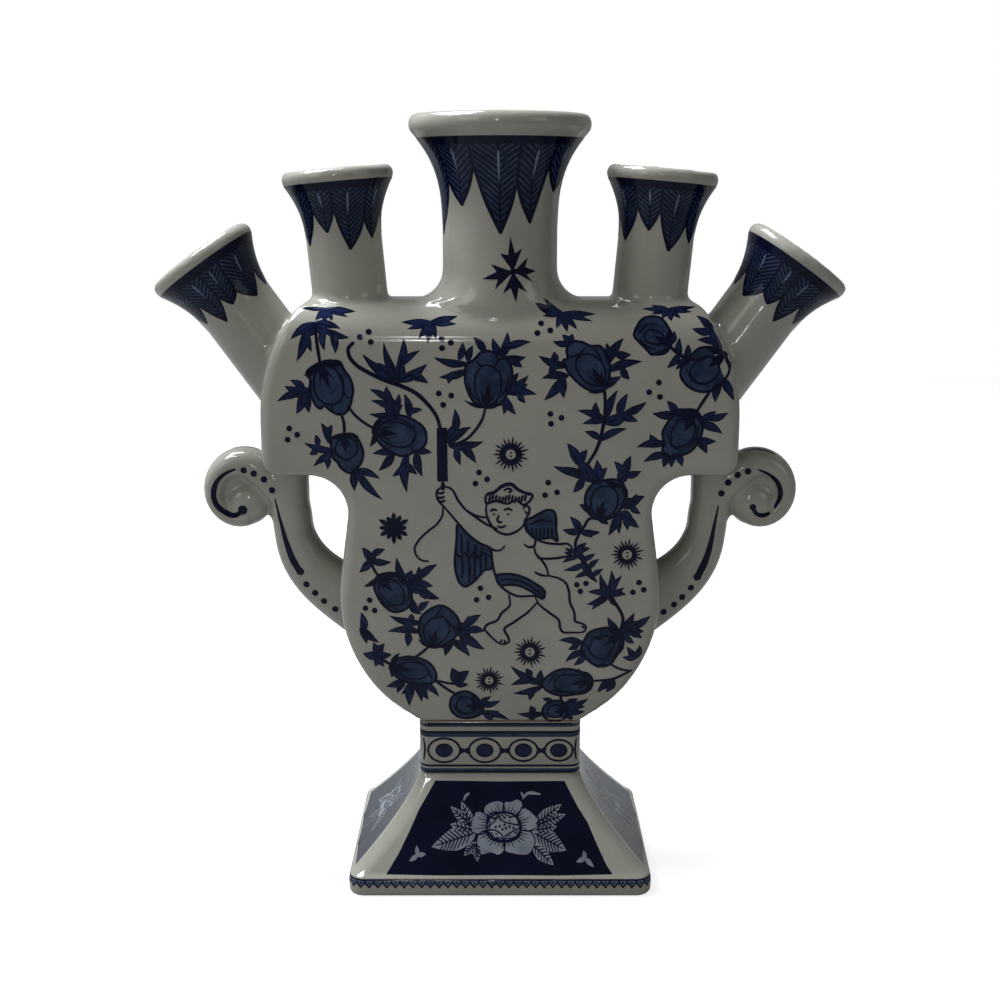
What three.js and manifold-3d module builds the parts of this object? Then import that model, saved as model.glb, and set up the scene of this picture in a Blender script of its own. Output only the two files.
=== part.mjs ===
// Tulip vase in blue and white tin-glaze style: a flat hollow body on a flared foot,
// five trumpet spouts in a fan and two scroll handles. Millimetres, +Z up.
// The origin is on the ground under the middle of the foot, and the front faces -Y.

import * as THREE from 'three';
import { mergeVertices } from 'three/addons/utils/BufferGeometryUtils.js';
import Module from 'manifold-3d';

const wasm = await Module();
wasm.setup();

// General sizes
const VASE_HEIGHT = 235.8;
const WALL = 3.6;
const FIT_GAP = 0.3;

// How finely round forms are cut into flats
const ARC_STEP = THREE.MathUtils.degToRad(15);
const LATHE_SIDES = 24;
const BODY_EDGE_STEPS = 2;
const THROAT_STEPS = 6;
const FLARE_STEPS = 5;
const LIP_STEPS = 5;
const FOOT_STEPS = 6;
const STEM_STEPS = 7;
const NECK_OF_VOLUTE_STEPS = 4;
const VOLUTE_STEPS = 12;
const PAD_STEPS = 6;
const HANDLE_SECTION_POINTS = 14;

// Small allowances: the smallest round edges that are made, how far a cutting solid runs on
// past what it cuts, and the share of a side that the round corners at its ends may fill.
const LEAST_ROUND = 0.5;
const LEAST_CORNER = 1;
const ROUND_ROOM = 0.3;
const CUT_MARGIN = 10;
const CORNER_SHARE = 0.98;
const MERGE_GAP = 1e-4;

// Foot
const FOOT_WIDTH = 94.2;
const FOOT_DEPTH = 70;
const FOOT_HEIGHT = 32.5;
const FOOT_RIM_HEIGHT = 6.5;
const FOOT_RIM_ROUND = 2.2;
const FOOT_CORNER_RADIUS = 5;
const FOOT_SIDE_SWEEP = 1.3;
const FOOT_FRONT_SWEEP = 0.8;

// Collar between foot and body
const COLLAR_WIDTH = 51;
const COLLAR_DEPTH = 31;
const COLLAR_HEIGHT = 17.5;
const COLLAR_CORNER_RADIUS = 3.5;
const LEDGE_WIDTH = 2.2;
const LEDGE_HEIGHT = 5;
const CHAMBER_FLOOR_THICKNESS = 4;

// Body
const BODY_DEPTH = 38;
const BODY_EDGE_RADIUS = 2.6;
const BODY_FOOT_WIDTH = 49.8;
const BODY_FOOT_DEPTH = 30.6;
const BODY_FOOT_CORNER_RADIUS = 3.6;
const BODY_FOOT_TAPER_HEIGHT = 13;
const BODY_FOOT_TAPER_RADIUS = 18;
const BELLY_WIDTH = 105.2;
const BELLY_HEIGHT = 20.8;
const BELLY_RADIUS = 46;
const WAIST_WIDTH = 89.2;
const ARMPIT_RADIUS = 11.5;
const SHOULDER_WIDTH = 144;
const SHOULDER_TOP_WIDTH = 118;
const SHOULDER_LOBE_HEIGHT = 52.2;
const SHOULDER_SLOPE_DROP = 17.5;
const SHOULDER_RADIUS = 62;
const SHOULDER_CORNER_RADIUS = 9;
const LOBE_CORNER_RADIUS = 5;
const SHOULDER_VAULT_RADIUS = 12;

// Throat that carries the middle spout
const THROAT_HEIGHT = 9.5;
const THROAT_FILLET_RADIUS = 9;

// Middle spout
const CENTRE_NECK_DIAMETER = 34.8;
const CENTRE_LIP_DIAMETER = 54.8;
const CENTRE_SPOUT_HEIGHT = 44.8;
const CENTRE_FLARE_HEIGHT = 35;
const CENTRE_FLARE_POWER = 3;
const CENTRE_LIP_BAND = 4.4;
const CENTRE_LIP_THICKNESS = 4.8;

// Inner pair of spouts
const INNER_NECK_DIAMETER = 22.9;
const INNER_LIP_DIAMETER = 33.6;
const INNER_SPOUT_HEIGHT = 38.8;
const INNER_FLARE_HEIGHT = 20;
const INNER_LIP_BAND = 3.4;
const INNER_SPOUT_INSET = 26.3;
const INNER_SPOUT_LEAN_DEGREES = 5;

// Outer pair of spouts
const OUTER_NECK_DIAMETER = 23.6;
const OUTER_LIP_DIAMETER = 34.8;
const OUTER_SPOUT_HEIGHT = 49;
const OUTER_FLARE_HEIGHT = 21;
const OUTER_LIP_BAND = 3.4;
const OUTER_SPOUT_INSET = 8.7;
const OUTER_SPOUT_DROP = 26.6;
const OUTER_SPOUT_LEAN_DEGREES = 35.5;
const SIDE_FLARE_POWER = 2.1;
const SIDE_LIP_THICKNESS = 4;
const SIDE_SPOUT_TAIL = 14;

// Scroll handles
const VOLUTE_REACH = 9;
const VOLUTE_DROP = 7.8;
const VOLUTE_TURN_RADIUS = 8.3;
const VOLUTE_START_DEGREES = 128;
const VOLUTE_END_DEGREES = -108;
const VOLUTE_START_WIDTH = 10.2;
const VOLUTE_END_WIDTH = 4.6;
const VOLUTE_EYE_RADIUS = 6.9;
const VOLUTE_EYE_OFFSET = 3.8;
const VOLUTE_EYE_DEGREES = -116.6;
const VOLUTE_WEB_DEPTH = 8;
const VOLUTE_WEB_OVERLAP = 1;
const STEM_WIDTH = 12.4;
const STEM_ROOT_WIDTH = 21;
const STEM_ROOT_TAPER_SHARE = 0.9;
const STEM_ROOT_DEGREES = 32;
const STEM_RISE_DEGREES = 88;
const STEM_PULL = 0.42;
const VOLUTE_PULL = 0.4;
const STEM_REACH = 21;
const STEM_HANDOVER_DROP = 16.3;
const STEM_ROOT_SINK = 6;
const STEM_ROOT_RISE = 11.4;
const STEM_HEAD_SHIFT = 0.7;
const STEM_HEAD_SINK = 2;
const HANDLE_DEPTH = 14;
const HANDLE_TIP_DEPTH = 12.4;
const HANDLE_ROUNDNESS = 2.5;

// Heights and half widths worked out from the sizes above
const collarBase = FOOT_HEIGHT;
const collarTop = collarBase + COLLAR_HEIGHT;
const throatTop = VASE_HEIGHT - CENTRE_SPOUT_HEIGHT;
const shoulderTop = throatTop - THROAT_HEIGHT;
const lobeUnderside = shoulderTop - SHOULDER_LOBE_HEIGHT;
const neckRadius = CENTRE_NECK_DIAMETER / 2;
const waterwayCorner = Math.max(COLLAR_CORNER_RADIUS - WALL, LEAST_CORNER);

// A closed geometry becomes a solid once only its positions are left and merged.
function toSolid(geometry) {
  const bare = geometry.index ? geometry.toNonIndexed() : geometry.clone();
  bare.deleteAttribute('normal');
  bare.deleteAttribute('uv');
  const merged = mergeVertices(bare, MERGE_GAP);
  const positions = Float32Array.from(merged.attributes.position.array);
  const triangles = Uint32Array.from(merged.index.array);
  const mesh = new wasm.Mesh({ numProp: 3, vertProperties: positions, triVerts: triangles });
  return new wasm.Manifold(mesh);
}

function toGeometry(solid) {
  const mesh = solid.getMesh();
  const geometry = new THREE.BufferGeometry();
  const positions = Float32Array.from(mesh.vertProperties);
  const triangles = Uint32Array.from(mesh.triVerts);
  geometry.setAttribute('position', new THREE.BufferAttribute(positions, 3));
  geometry.setIndex(new THREE.BufferAttribute(triangles, 1));
  geometry.computeVertexNormals();
  return geometry;
}

// Straight sides joined by round corners. Corners run anticlockwise as { x, y, r }.
// A positive inset moves every side inwards, and a negative one outwards.
function roundedOutline(corners, inset = 0, leastRadius = LEAST_ROUND) {
  const count = corners.length;
  const sides = corners.map((from, i) => {
    const to = corners[(i + 1) % count];
    const along = new THREE.Vector2(to.x - from.x, to.y - from.y).normalize();
    const inward = new THREE.Vector2(-along.y, along.x);
    const start = new THREE.Vector2(from.x, from.y).addScaledVector(inward, inset);
    return { start, along };
  });
  const joints = corners.map((corner, i) => {
    const before = sides[(i + count - 1) % count];
    const after = sides[i];
    const cross = before.along.cross(after.along);
    const reach = after.start.clone().sub(before.start).cross(after.along) / cross;
    const point = before.start.clone().addScaledVector(before.along, reach);
    const turn = Math.atan2(cross, before.along.dot(after.along));
    const wanted = turn > 0 ? corner.r - inset : corner.r + inset;
    const radius = Math.max(wanted, leastRadius);
    return { point, turn, radius, cut: radius * Math.tan(Math.abs(turn) / 2) };
  });
  const outline = [];
  joints.forEach((joint, i) => {
    const previous = joints[(i + count - 1) % count];
    const next = joints[(i + 1) % count];
    const roomBefore = joint.point.distanceTo(previous.point) / (joint.cut + previous.cut);
    const roomAfter = joint.point.distanceTo(next.point) / (joint.cut + next.cut);
    const scale = Math.min(1, roomBefore * CORNER_SHARE, roomAfter * CORNER_SHARE);
    const radius = joint.radius * scale;
    const arrive = sides[(i + count - 1) % count].along;
    const start = joint.point.clone().addScaledVector(arrive, -joint.cut * scale);
    const side = Math.sign(joint.turn);
    const toCentre = new THREE.Vector2(-arrive.y, arrive.x).multiplyScalar(side * radius);
    const centre = start.clone().add(toCentre);
    const steps = Math.max(1, Math.ceil(Math.abs(joint.turn) / ARC_STEP));
    for (let k = 0; k <= steps; k += 1) {
      const spoke = start.clone().sub(centre);
      spoke.rotateAround(new THREE.Vector2(), (joint.turn * k) / steps);
      outline.push(spoke.add(centre));
    }
  });
  return outline;
}

// Rows of points with the same count become one closed skin with flat ends.
function loft(rings) {
  const size = rings[0].length;
  const positions = [];
  rings.forEach((ring) => ring.forEach((p) => positions.push(p.x, p.y, p.z)));
  const middleOf = (ring) => {
    const sum = ring.reduce((total, p) => total.add(p), new THREE.Vector3());
    return sum.divideScalar(size);
  };
  const startCentre = middleOf(rings[0]);
  const endCentre = middleOf(rings[rings.length - 1]);
  const startIndex = rings.length * size;
  const endIndex = startIndex + 1;
  positions.push(startCentre.x, startCentre.y, startCentre.z);
  positions.push(endCentre.x, endCentre.y, endCentre.z);
  const index = [];
  for (let j = 0; j < size; j += 1) {
    const k = (j + 1) % size;
    for (let i = 0; i < rings.length - 1; i += 1) {
      const a = i * size + j;
      const b = i * size + k;
      index.push(a, b, b + size, a, b + size, a + size);
    }
    const last = (rings.length - 1) * size;
    index.push(startIndex, k, j, endIndex, last + j, last + k);
  }
  const geometry = new THREE.BufferGeometry();
  geometry.setAttribute('position', new THREE.Float32BufferAttribute(positions, 3));
  geometry.setIndex(index);
  return geometry;
}

function slab(low, high) {
  const size = new THREE.Vector3().subVectors(high, low);
  const box = new THREE.BoxGeometry(size.x, size.y, size.z);
  const middle = new THREE.Vector3().addVectors(low, high).multiplyScalar(0.5);
  return toSolid(box.translate(middle.x, middle.y, middle.z));
}

// A plan with round corners, pulled straight up between two heights.
function roundedBlock(width, depth, radius, low, high) {
  const plan = new THREE.Shape(roundedOutline(rectangleCorners(width, depth, radius)));
  const block = new THREE.ExtrudeGeometry(plan, { depth: high - low, bevelEnabled: false });
  return toSolid(block.translate(0, 0, low));
}

function rectangleCorners(width, depth, radius) {
  const x = width / 2;
  const y = depth / 2;
  return [
    { x: -x, y: -y, r: radius },
    { x, y: -y, r: radius },
    { x, y, r: radius },
    { x: -x, y, r: radius },
  ];
}

// The body seen from the front, right half from the bottom up and then the left half.
// Its lowest corners run on past the collar's top, where the side view cuts them off square.
function bodyFrontCorners() {
  const slope = (BELLY_WIDTH - BODY_FOOT_WIDTH) / 2 / BELLY_HEIGHT;
  const overrun = BODY_EDGE_RADIUS * 2;
  const footCorner = BODY_FOOT_WIDTH / 2 - slope * overrun;
  const right = [
    { x: footCorner, y: collarTop - overrun, r: BODY_FOOT_CORNER_RADIUS },
    { x: BELLY_WIDTH / 2, y: collarTop + BELLY_HEIGHT, r: BELLY_RADIUS },
    { x: WAIST_WIDTH / 2, y: lobeUnderside, r: ARMPIT_RADIUS },
    { x: SHOULDER_WIDTH / 2, y: lobeUnderside, r: LOBE_CORNER_RADIUS },
    { x: SHOULDER_WIDTH / 2, y: shoulderTop - SHOULDER_SLOPE_DROP, r: SHOULDER_RADIUS },
    { x: SHOULDER_TOP_WIDTH / 2, y: shoulderTop, r: SHOULDER_CORNER_RADIUS },
  ];
  const left = right.map((corner) => ({ ...corner, x: -corner.x })).reverse();
  return [...right, ...left];
}

// The body seen from the side: drawn in at the bottom and vaulted along the shoulders.
function bodySideCorners() {
  const narrow = BODY_FOOT_DEPTH / 2;
  const wide = BODY_DEPTH / 2;
  const taperTop = collarTop + BODY_FOOT_TAPER_HEIGHT;
  return [
    { x: -narrow, y: collarTop, r: 0 },
    { x: narrow, y: collarTop, r: 0 },
    { x: wide, y: taperTop, r: BODY_FOOT_TAPER_RADIUS },
    { x: wide, y: shoulderTop, r: SHOULDER_VAULT_RADIUS },
    { x: -wide, y: shoulderTop, r: SHOULDER_VAULT_RADIUS },
    { x: -wide, y: taperTop, r: BODY_FOOT_TAPER_RADIUS },
  ];
}

// The body as one closed form, shrunk by the inset on every side.
function bodyForm(inset) {
  const edge = Math.max(BODY_EDGE_RADIUS - inset, LEAST_ROUND);
  const front = new THREE.Shape(roundedOutline(bodyFrontCorners(), inset, edge + ROUND_ROOM));
  const thickness = BODY_DEPTH - 2 * inset;
  const frontBlock = new THREE.ExtrudeGeometry(front, {
    depth: thickness - 2 * edge,
    bevelThickness: edge,
    bevelSize: edge,
    bevelOffset: -edge,
    bevelSegments: BODY_EDGE_STEPS,
  });
  frontBlock.translate(0, 0, edge - thickness / 2);
  frontBlock.rotateX(Math.PI / 2);
  const side = new THREE.Shape(roundedOutline(bodySideCorners(), inset));
  const span = SHOULDER_WIDTH + 2 * CUT_MARGIN;
  const sideBlock = new THREE.ExtrudeGeometry(side, { depth: span, bevelEnabled: false });
  sideBlock.translate(0, 0, -span / 2);
  const turn = new THREE.Matrix4().makeBasis(
    new THREE.Vector3(0, 1, 0),
    new THREE.Vector3(0, 0, 1),
    new THREE.Vector3(1, 0, 0),
  );
  sideBlock.applyMatrix4(turn);
  return toSolid(frontBlock).intersect(toSolid(sideBlock));
}

// The shoulders rise to the middle neck in a sweep to the left and right, and stay
// flush with the neck at the front and back.
function throatForm() {
  const ringAt = (halfWidth, z) => {
    const ring = [];
    for (let i = 0; i < LATHE_SIDES; i += 1) {
      const angle = (i / LATHE_SIDES) * 2 * Math.PI;
      ring.push(new THREE.Vector3(halfWidth * Math.cos(angle), neckRadius * Math.sin(angle), z));
    }
    return ring;
  };
  const fillet = THROAT_FILLET_RADIUS;
  const rings = [ringAt(neckRadius + fillet, shoulderTop - SHOULDER_VAULT_RADIUS)];
  for (let i = 0; i <= THROAT_STEPS; i += 1) {
    const angle = (i / THROAT_STEPS) * (Math.PI / 2);
    const spread = fillet * (1 - Math.sin(angle));
    rings.push(ringAt(neckRadius + spread, shoulderTop + fillet * (1 - Math.cos(angle))));
  }
  rings.push(ringAt(neckRadius, throatTop));
  return toSolid(loft(rings));
}

function rod(radius, low, high) {
  const profile = [
    new THREE.Vector2(0, low),
    new THREE.Vector2(radius, low),
    new THREE.Vector2(radius, high),
    new THREE.Vector2(0, high),
  ];
  return new THREE.LatheGeometry(profile, LATHE_SIDES).rotateX(Math.PI / 2);
}

// A thrown spout about its own axis: straight neck, trumpet flare and a thick rolled lip.
function spoutGeometry(spout) {
  const { neck, lip, height, flare, power, band, lipThickness, tail } = spout;
  const bore = neck - WALL;
  const lipBore = lip - lipThickness;
  const bandLow = height - band;
  const flareStart = bandLow - flare;
  const flarePoint = (from, to, share) => {
    const across = THREE.MathUtils.lerp(from, to, share ** power);
    return new THREE.Vector2(across, flareStart + flare * share);
  };
  const profile = [new THREE.Vector2(neck, -tail)];
  for (let i = 0; i <= FLARE_STEPS; i += 1) {
    profile.push(flarePoint(neck, lip, i / FLARE_STEPS));
  }
  const lipRound = lipThickness / 2;
  for (let i = 0; i <= LIP_STEPS; i += 1) {
    const angle = (i / LIP_STEPS) * Math.PI;
    const across = lip - lipRound + lipRound * Math.cos(angle);
    profile.push(new THREE.Vector2(across, height - lipRound + lipRound * Math.sin(angle)));
  }
  for (let i = FLARE_STEPS; i >= 0; i -= 1) {
    profile.push(flarePoint(bore, lipBore, i / FLARE_STEPS));
  }
  profile.push(new THREE.Vector2(bore, -tail));
  profile.push(profile[0].clone());
  return new THREE.LatheGeometry(profile, LATHE_SIDES).rotateX(Math.PI / 2);
}

const centreSpout = {
  neck: neckRadius,
  lip: CENTRE_LIP_DIAMETER / 2,
  height: CENTRE_SPOUT_HEIGHT,
  flare: CENTRE_FLARE_HEIGHT - CENTRE_LIP_BAND,
  power: CENTRE_FLARE_POWER,
  band: CENTRE_LIP_BAND,
  lipThickness: CENTRE_LIP_THICKNESS,
  tail: 0,
};

const innerSpout = {
  neck: INNER_NECK_DIAMETER / 2,
  lip: INNER_LIP_DIAMETER / 2,
  height: INNER_SPOUT_HEIGHT,
  flare: INNER_FLARE_HEIGHT - INNER_LIP_BAND,
  power: SIDE_FLARE_POWER,
  band: INNER_LIP_BAND,
  lipThickness: SIDE_LIP_THICKNESS,
  tail: SIDE_SPOUT_TAIL,
};

const outerSpout = {
  neck: OUTER_NECK_DIAMETER / 2,
  lip: OUTER_LIP_DIAMETER / 2,
  height: OUTER_SPOUT_HEIGHT,
  flare: OUTER_FLARE_HEIGHT - OUTER_LIP_BAND,
  power: SIDE_FLARE_POWER,
  band: OUTER_LIP_BAND,
  lipThickness: SIDE_LIP_THICKNESS,
  tail: SIDE_SPOUT_TAIL,
};

// Where a side spout's axis starts, and how far it leans outwards. Side is -1 or 1, and the
// inset is measured from the end of the shoulders.
function spoutPlace(side, inset, height, leanDegrees) {
  return {
    position: new THREE.Vector3(side * (SHOULDER_WIDTH / 2 - inset), 0, height),
    lean: side * THREE.MathUtils.degToRad(leanDegrees),
  };
}

function innerPlace(side) {
  return spoutPlace(side, INNER_SPOUT_INSET, shoulderTop, INNER_SPOUT_LEAN_DEGREES);
}

function outerPlace(side) {
  const height = shoulderTop - OUTER_SPOUT_DROP;
  return spoutPlace(side, OUTER_SPOUT_INSET, height, OUTER_SPOUT_LEAN_DEGREES);
}

function placeMatrix(place) {
  const turn = new THREE.Quaternion().setFromAxisAngle(new THREE.Vector3(0, 1, 0), place.lean);
  return new THREE.Matrix4().compose(place.position, turn, new THREE.Vector3(1, 1, 1));
}

const sideSpouts = [
  { name: 'inner_left_spout', form: innerSpout, place: innerPlace(-1) },
  { name: 'inner_right_spout', form: innerSpout, place: innerPlace(1) },
  { name: 'outer_left_spout', form: outerSpout, place: outerPlace(-1) },
  { name: 'outer_right_spout', form: outerSpout, place: outerPlace(1) },
];

// The water chamber inside the body, open to the collar below and the throat above.
function chamberForm() {
  const waterway = roundedBlock(
    COLLAR_WIDTH - 2 * WALL,
    COLLAR_DEPTH - 2 * WALL,
    waterwayCorner,
    collarTop - WALL,
    collarTop + 2 * WALL,
  );
  const bore = rod(neckRadius - WALL, shoulderTop - CUT_MARGIN, throatTop + CUT_MARGIN);
  return bodyForm(WALL).add(waterway).add(toSolid(bore));
}

// Each side spout is let into the shoulder through a hole with a small gap round it.
function spoutHole(item) {
  const { neck, height, band, flare, tail } = item.form;
  const hole = rod(neck + FIT_GAP, -tail - CUT_MARGIN, height - band - flare);
  return toSolid(hole.applyMatrix4(placeMatrix(item.place)));
}

// Handle centreline in the plane of the body, from the root in the belly to the curled tip.
function handleStations() {
  const degrees = THREE.MathUtils.degToRad;
  const mix = THREE.MathUtils.lerp;
  const towards = (angle) => new THREE.Vector2(Math.cos(angle), Math.sin(angle));
  const volute = new THREE.Vector2(SHOULDER_WIDTH / 2 + VOLUTE_REACH, lobeUnderside - VOLUTE_DROP);
  const root = new THREE.Vector2(
    WAIST_WIDTH / 2 + BODY_EDGE_RADIUS - STEM_ROOT_SINK,
    collarTop + BELLY_HEIGHT + STEM_ROOT_RISE,
  );
  const handover = new THREE.Vector2(
    WAIST_WIDTH / 2 + STEM_REACH,
    lobeUnderside - STEM_HANDOVER_DROP,
  );
  const start = degrees(VOLUTE_START_DEGREES);
  const end = degrees(VOLUTE_END_DEGREES);
  const onTurn = (angle) => volute.clone().addScaledVector(towards(angle), VOLUTE_TURN_RADIUS);
  const turnStart = onTurn(start);
  const turnHeading = new THREE.Vector2(Math.sin(start), -Math.cos(start));
  const stemPull = root.distanceTo(handover) * STEM_PULL;
  const volutePull = handover.distanceTo(turnStart) * VOLUTE_PULL;
  const leaving = towards(degrees(STEM_ROOT_DEGREES));
  const rising = towards(degrees(STEM_RISE_DEGREES));
  const stem = new THREE.CubicBezierCurve(
    root,
    root.clone().addScaledVector(leaving, stemPull),
    handover.clone().addScaledVector(rising, -stemPull),
    handover,
  );
  const neckOfVolute = new THREE.CubicBezierCurve(
    handover,
    handover.clone().addScaledVector(rising, volutePull),
    turnStart.clone().addScaledVector(turnHeading, -volutePull),
    turnStart,
  );
  const stations = [];
  stem.getPoints(STEM_STEPS).forEach((point, i) => {
    const share = Math.min(1, i / (STEM_STEPS * STEM_ROOT_TAPER_SHARE));
    stations.push({ point, width: mix(STEM_ROOT_WIDTH, STEM_WIDTH, share), depth: HANDLE_DEPTH });
  });
  neckOfVolute.getPoints(NECK_OF_VOLUTE_STEPS).slice(1).forEach((point, i) => {
    const share = (i + 1) / NECK_OF_VOLUTE_STEPS;
    stations.push({ point, width: mix(STEM_WIDTH, VOLUTE_START_WIDTH, share), depth: HANDLE_DEPTH });
  });
  for (let i = 1; i <= VOLUTE_STEPS; i += 1) {
    const share = i / VOLUTE_STEPS;
    stations.push({
      point: onTurn(mix(start, end, share)),
      width: mix(VOLUTE_START_WIDTH, VOLUTE_END_WIDTH, share),
      depth: mix(HANDLE_DEPTH, HANDLE_TIP_DEPTH, share),
    });
  }
  const headAt = (height) => ({
    point: new THREE.Vector2(handover.x + STEM_HEAD_SHIFT, height),
    width: STEM_WIDTH,
    depth: HANDLE_DEPTH,
  });
  const head = [headAt(handover.y), headAt(lobeUnderside + STEM_HEAD_SINK)];
  const eyeWay = towards(degrees(VOLUTE_EYE_DEGREES));
  const eye = volute.clone().addScaledVector(eyeWay, VOLUTE_EYE_OFFSET);
  return { stations, head, eye, volute };
}

function superEllipse(angle) {
  const power = 2 / HANDLE_ROUNDNESS;
  const bend = (value) => Math.sign(value) * Math.abs(value) ** power;
  return new THREE.Vector2(bend(Math.cos(angle)), bend(Math.sin(angle)));
}

// A round pad across the plane of the body, with soft edges.
function pad(radius, depth, centre) {
  const profile = [];
  for (let i = 0; i <= PAD_STEPS; i += 1) {
    const unit = superEllipse((i / PAD_STEPS) * Math.PI - Math.PI / 2);
    const onAxis = i === 0 || i === PAD_STEPS;
    profile.push(new THREE.Vector2(onAxis ? 0 : unit.x * radius, (unit.y * depth) / 2));
  }
  return toSolid(new THREE.LatheGeometry(profile, LATHE_SIDES).translate(centre.x, 0, centre.y));
}

// A sweep of soft oblong sections along a row of stations, on one side of the vase.
function handleSweep(stations, side) {
  const rings = stations.map((station, i) => {
    const before = stations[Math.max(i - 1, 0)].point;
    const after = stations[Math.min(i + 1, stations.length - 1)].point;
    const heading = after.clone().sub(before).normalize();
    const across = new THREE.Vector2(heading.y, -heading.x);
    const ring = [];
    for (let k = 0; k < HANDLE_SECTION_POINTS; k += 1) {
      const unit = superEllipse((side * k * 2 * Math.PI) / HANDLE_SECTION_POINTS);
      const flat = station.point.clone().addScaledVector(across, (unit.x * station.width) / 2);
      ring.push(new THREE.Vector3(side * flat.x, (unit.y * station.depth) / 2, flat.y));
    }
    return ring;
  });
  return toSolid(loft(rings));
}

// The scroll, the head of its stem under the shoulder, the rolled eye of the volute, and
// the sunk web between them, which makes the floor of the spiral groove.
function handleForm(side) {
  const { stations, head, eye, volute } = handleStations();
  const mirrored = (point) => new THREE.Vector2(side * point.x, point.y);
  const roll = pad(VOLUTE_EYE_RADIUS, HANDLE_TIP_DEPTH, mirrored(eye));
  const webRadius = VOLUTE_TURN_RADIUS + VOLUTE_WEB_OVERLAP;
  const web = pad(webRadius, VOLUTE_WEB_DEPTH, mirrored(volute));
  return handleSweep(stations, side).add(handleSweep(head, side)).add(roll).add(web);
}

// The foot: a plan with round corners that sweeps out to a rolled rim, as a closed form.
// A positive inset gives the hollow under it.
function footForm(inset) {
  const rings = [];
  const ringAt = (width, depth, z) => {
    const radius = Math.max(FOOT_CORNER_RADIUS - inset, LEAST_CORNER);
    const corners = rectangleCorners(width - 2 * inset, depth - 2 * inset, radius);
    rings.push(roundedOutline(corners).map((p) => new THREE.Vector3(p.x, p.y, z)));
  };
  const mix = THREE.MathUtils.lerp;
  const extra = inset > 0 ? CUT_MARGIN : 0;
  const rimIn = inset > 0 ? 0 : FOOT_RIM_ROUND;
  ringAt(FOOT_WIDTH - rimIn, FOOT_DEPTH - rimIn, -extra);
  if (inset === 0) {
    ringAt(FOOT_WIDTH, FOOT_DEPTH, FOOT_RIM_ROUND);
    ringAt(FOOT_WIDTH, FOOT_DEPTH, FOOT_RIM_HEIGHT - FOOT_RIM_ROUND);
  }
  for (let i = 0; i <= FOOT_STEPS; i += 1) {
    const share = 1 - i / FOOT_STEPS;
    const width = mix(COLLAR_WIDTH, FOOT_WIDTH - FOOT_RIM_ROUND, share ** FOOT_SIDE_SWEEP);
    const depth = mix(COLLAR_DEPTH, FOOT_DEPTH - FOOT_RIM_ROUND, share ** FOOT_FRONT_SWEEP);
    ringAt(width, depth, mix(FOOT_HEIGHT, FOOT_RIM_HEIGHT, share));
  }
  if (inset > 0) {
    ringAt(COLLAR_WIDTH, COLLAR_DEPTH, FOOT_HEIGHT + CUT_MARGIN);
  }
  return toSolid(loft(rings));
}

// Collar with a ledge inside, which carries the floor of the water chamber.
function collarForm() {
  const ledge = collarBase + LEDGE_HEIGHT;
  const width = COLLAR_WIDTH - 2 * WALL;
  const depth = COLLAR_DEPTH - 2 * WALL;
  return roundedBlock(COLLAR_WIDTH, COLLAR_DEPTH, COLLAR_CORNER_RADIUS, collarBase, collarTop)
    .subtract(roundedBlock(width, depth, waterwayCorner, ledge, collarTop + CUT_MARGIN))
    .subtract(
      roundedBlock(
        width - 2 * LEDGE_WIDTH,
        depth - 2 * LEDGE_WIDTH,
        waterwayCorner,
        collarBase - CUT_MARGIN,
        collarTop,
      ),
    );
}

function chamberFloorForm() {
  const ledge = collarBase + LEDGE_HEIGHT;
  return roundedBlock(
    COLLAR_WIDTH - 2 * (WALL + FIT_GAP),
    COLLAR_DEPTH - 2 * (WALL + FIT_GAP),
    waterwayCorner,
    ledge,
    ledge + CHAMBER_FLOOR_THICKNESS,
  );
}

const glaze = { color: 0xc9cbc4, roughness: 0.12, metalness: 0 };
const cobalt = { color: 0x1b2448, roughness: 0.12, metalness: 0 };

function pieceOf(name, geometry, finish, place) {
  const mesh = new THREE.Mesh(geometry, new THREE.MeshStandardMaterial(finish));
  mesh.name = name;
  if (place) {
    mesh.position.copy(place.position);
    mesh.rotation.set(0, place.lean, 0);
  }
  return mesh;
}

const vase = new THREE.Group();
const chamber = chamberForm();
const body = sideSpouts.reduce(
  (shell, item) => shell.subtract(spoutHole(item)),
  bodyForm(0).add(throatForm()).subtract(chamber),
);
const bodyLow = collarTop - CUT_MARGIN;
const bodyHigh = throatTop + CUT_MARGIN;
const frontHalf = slab(
  new THREE.Vector3(-SHOULDER_WIDTH, -BODY_DEPTH, bodyLow),
  new THREE.Vector3(SHOULDER_WIDTH, 0, bodyHigh),
);
const backHalf = slab(
  new THREE.Vector3(-SHOULDER_WIDTH, 0, bodyLow),
  new THREE.Vector3(SHOULDER_WIDTH, BODY_DEPTH, bodyHigh),
);
vase.add(pieceOf('body_front', toGeometry(body.intersect(frontHalf)), glaze));
vase.add(pieceOf('body_back', toGeometry(body.intersect(backHalf)), glaze));

const centrePlace = { position: new THREE.Vector3(0, 0, throatTop), lean: 0 };
const centreTube = toGeometry(toSolid(spoutGeometry(centreSpout)));
vase.add(pieceOf('centre_spout', centreTube, glaze, centrePlace));

sideSpouts.forEach((item) => {
  const matrix = placeMatrix(item.place);
  const tube = toSolid(spoutGeometry(item.form).applyMatrix4(matrix)).subtract(chamber);
  const local = toGeometry(tube).applyMatrix4(matrix.clone().invert());
  vase.add(pieceOf(item.name, local, glaze, item.place));
});

const bodyClearance = bodyForm(-FIT_GAP);
const leftHandle = toGeometry(handleForm(-1).subtract(bodyClearance));
const rightHandle = toGeometry(handleForm(1).subtract(bodyClearance));
vase.add(pieceOf('left_handle', leftHandle, glaze));
vase.add(pieceOf('right_handle', rightHandle, glaze));

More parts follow.
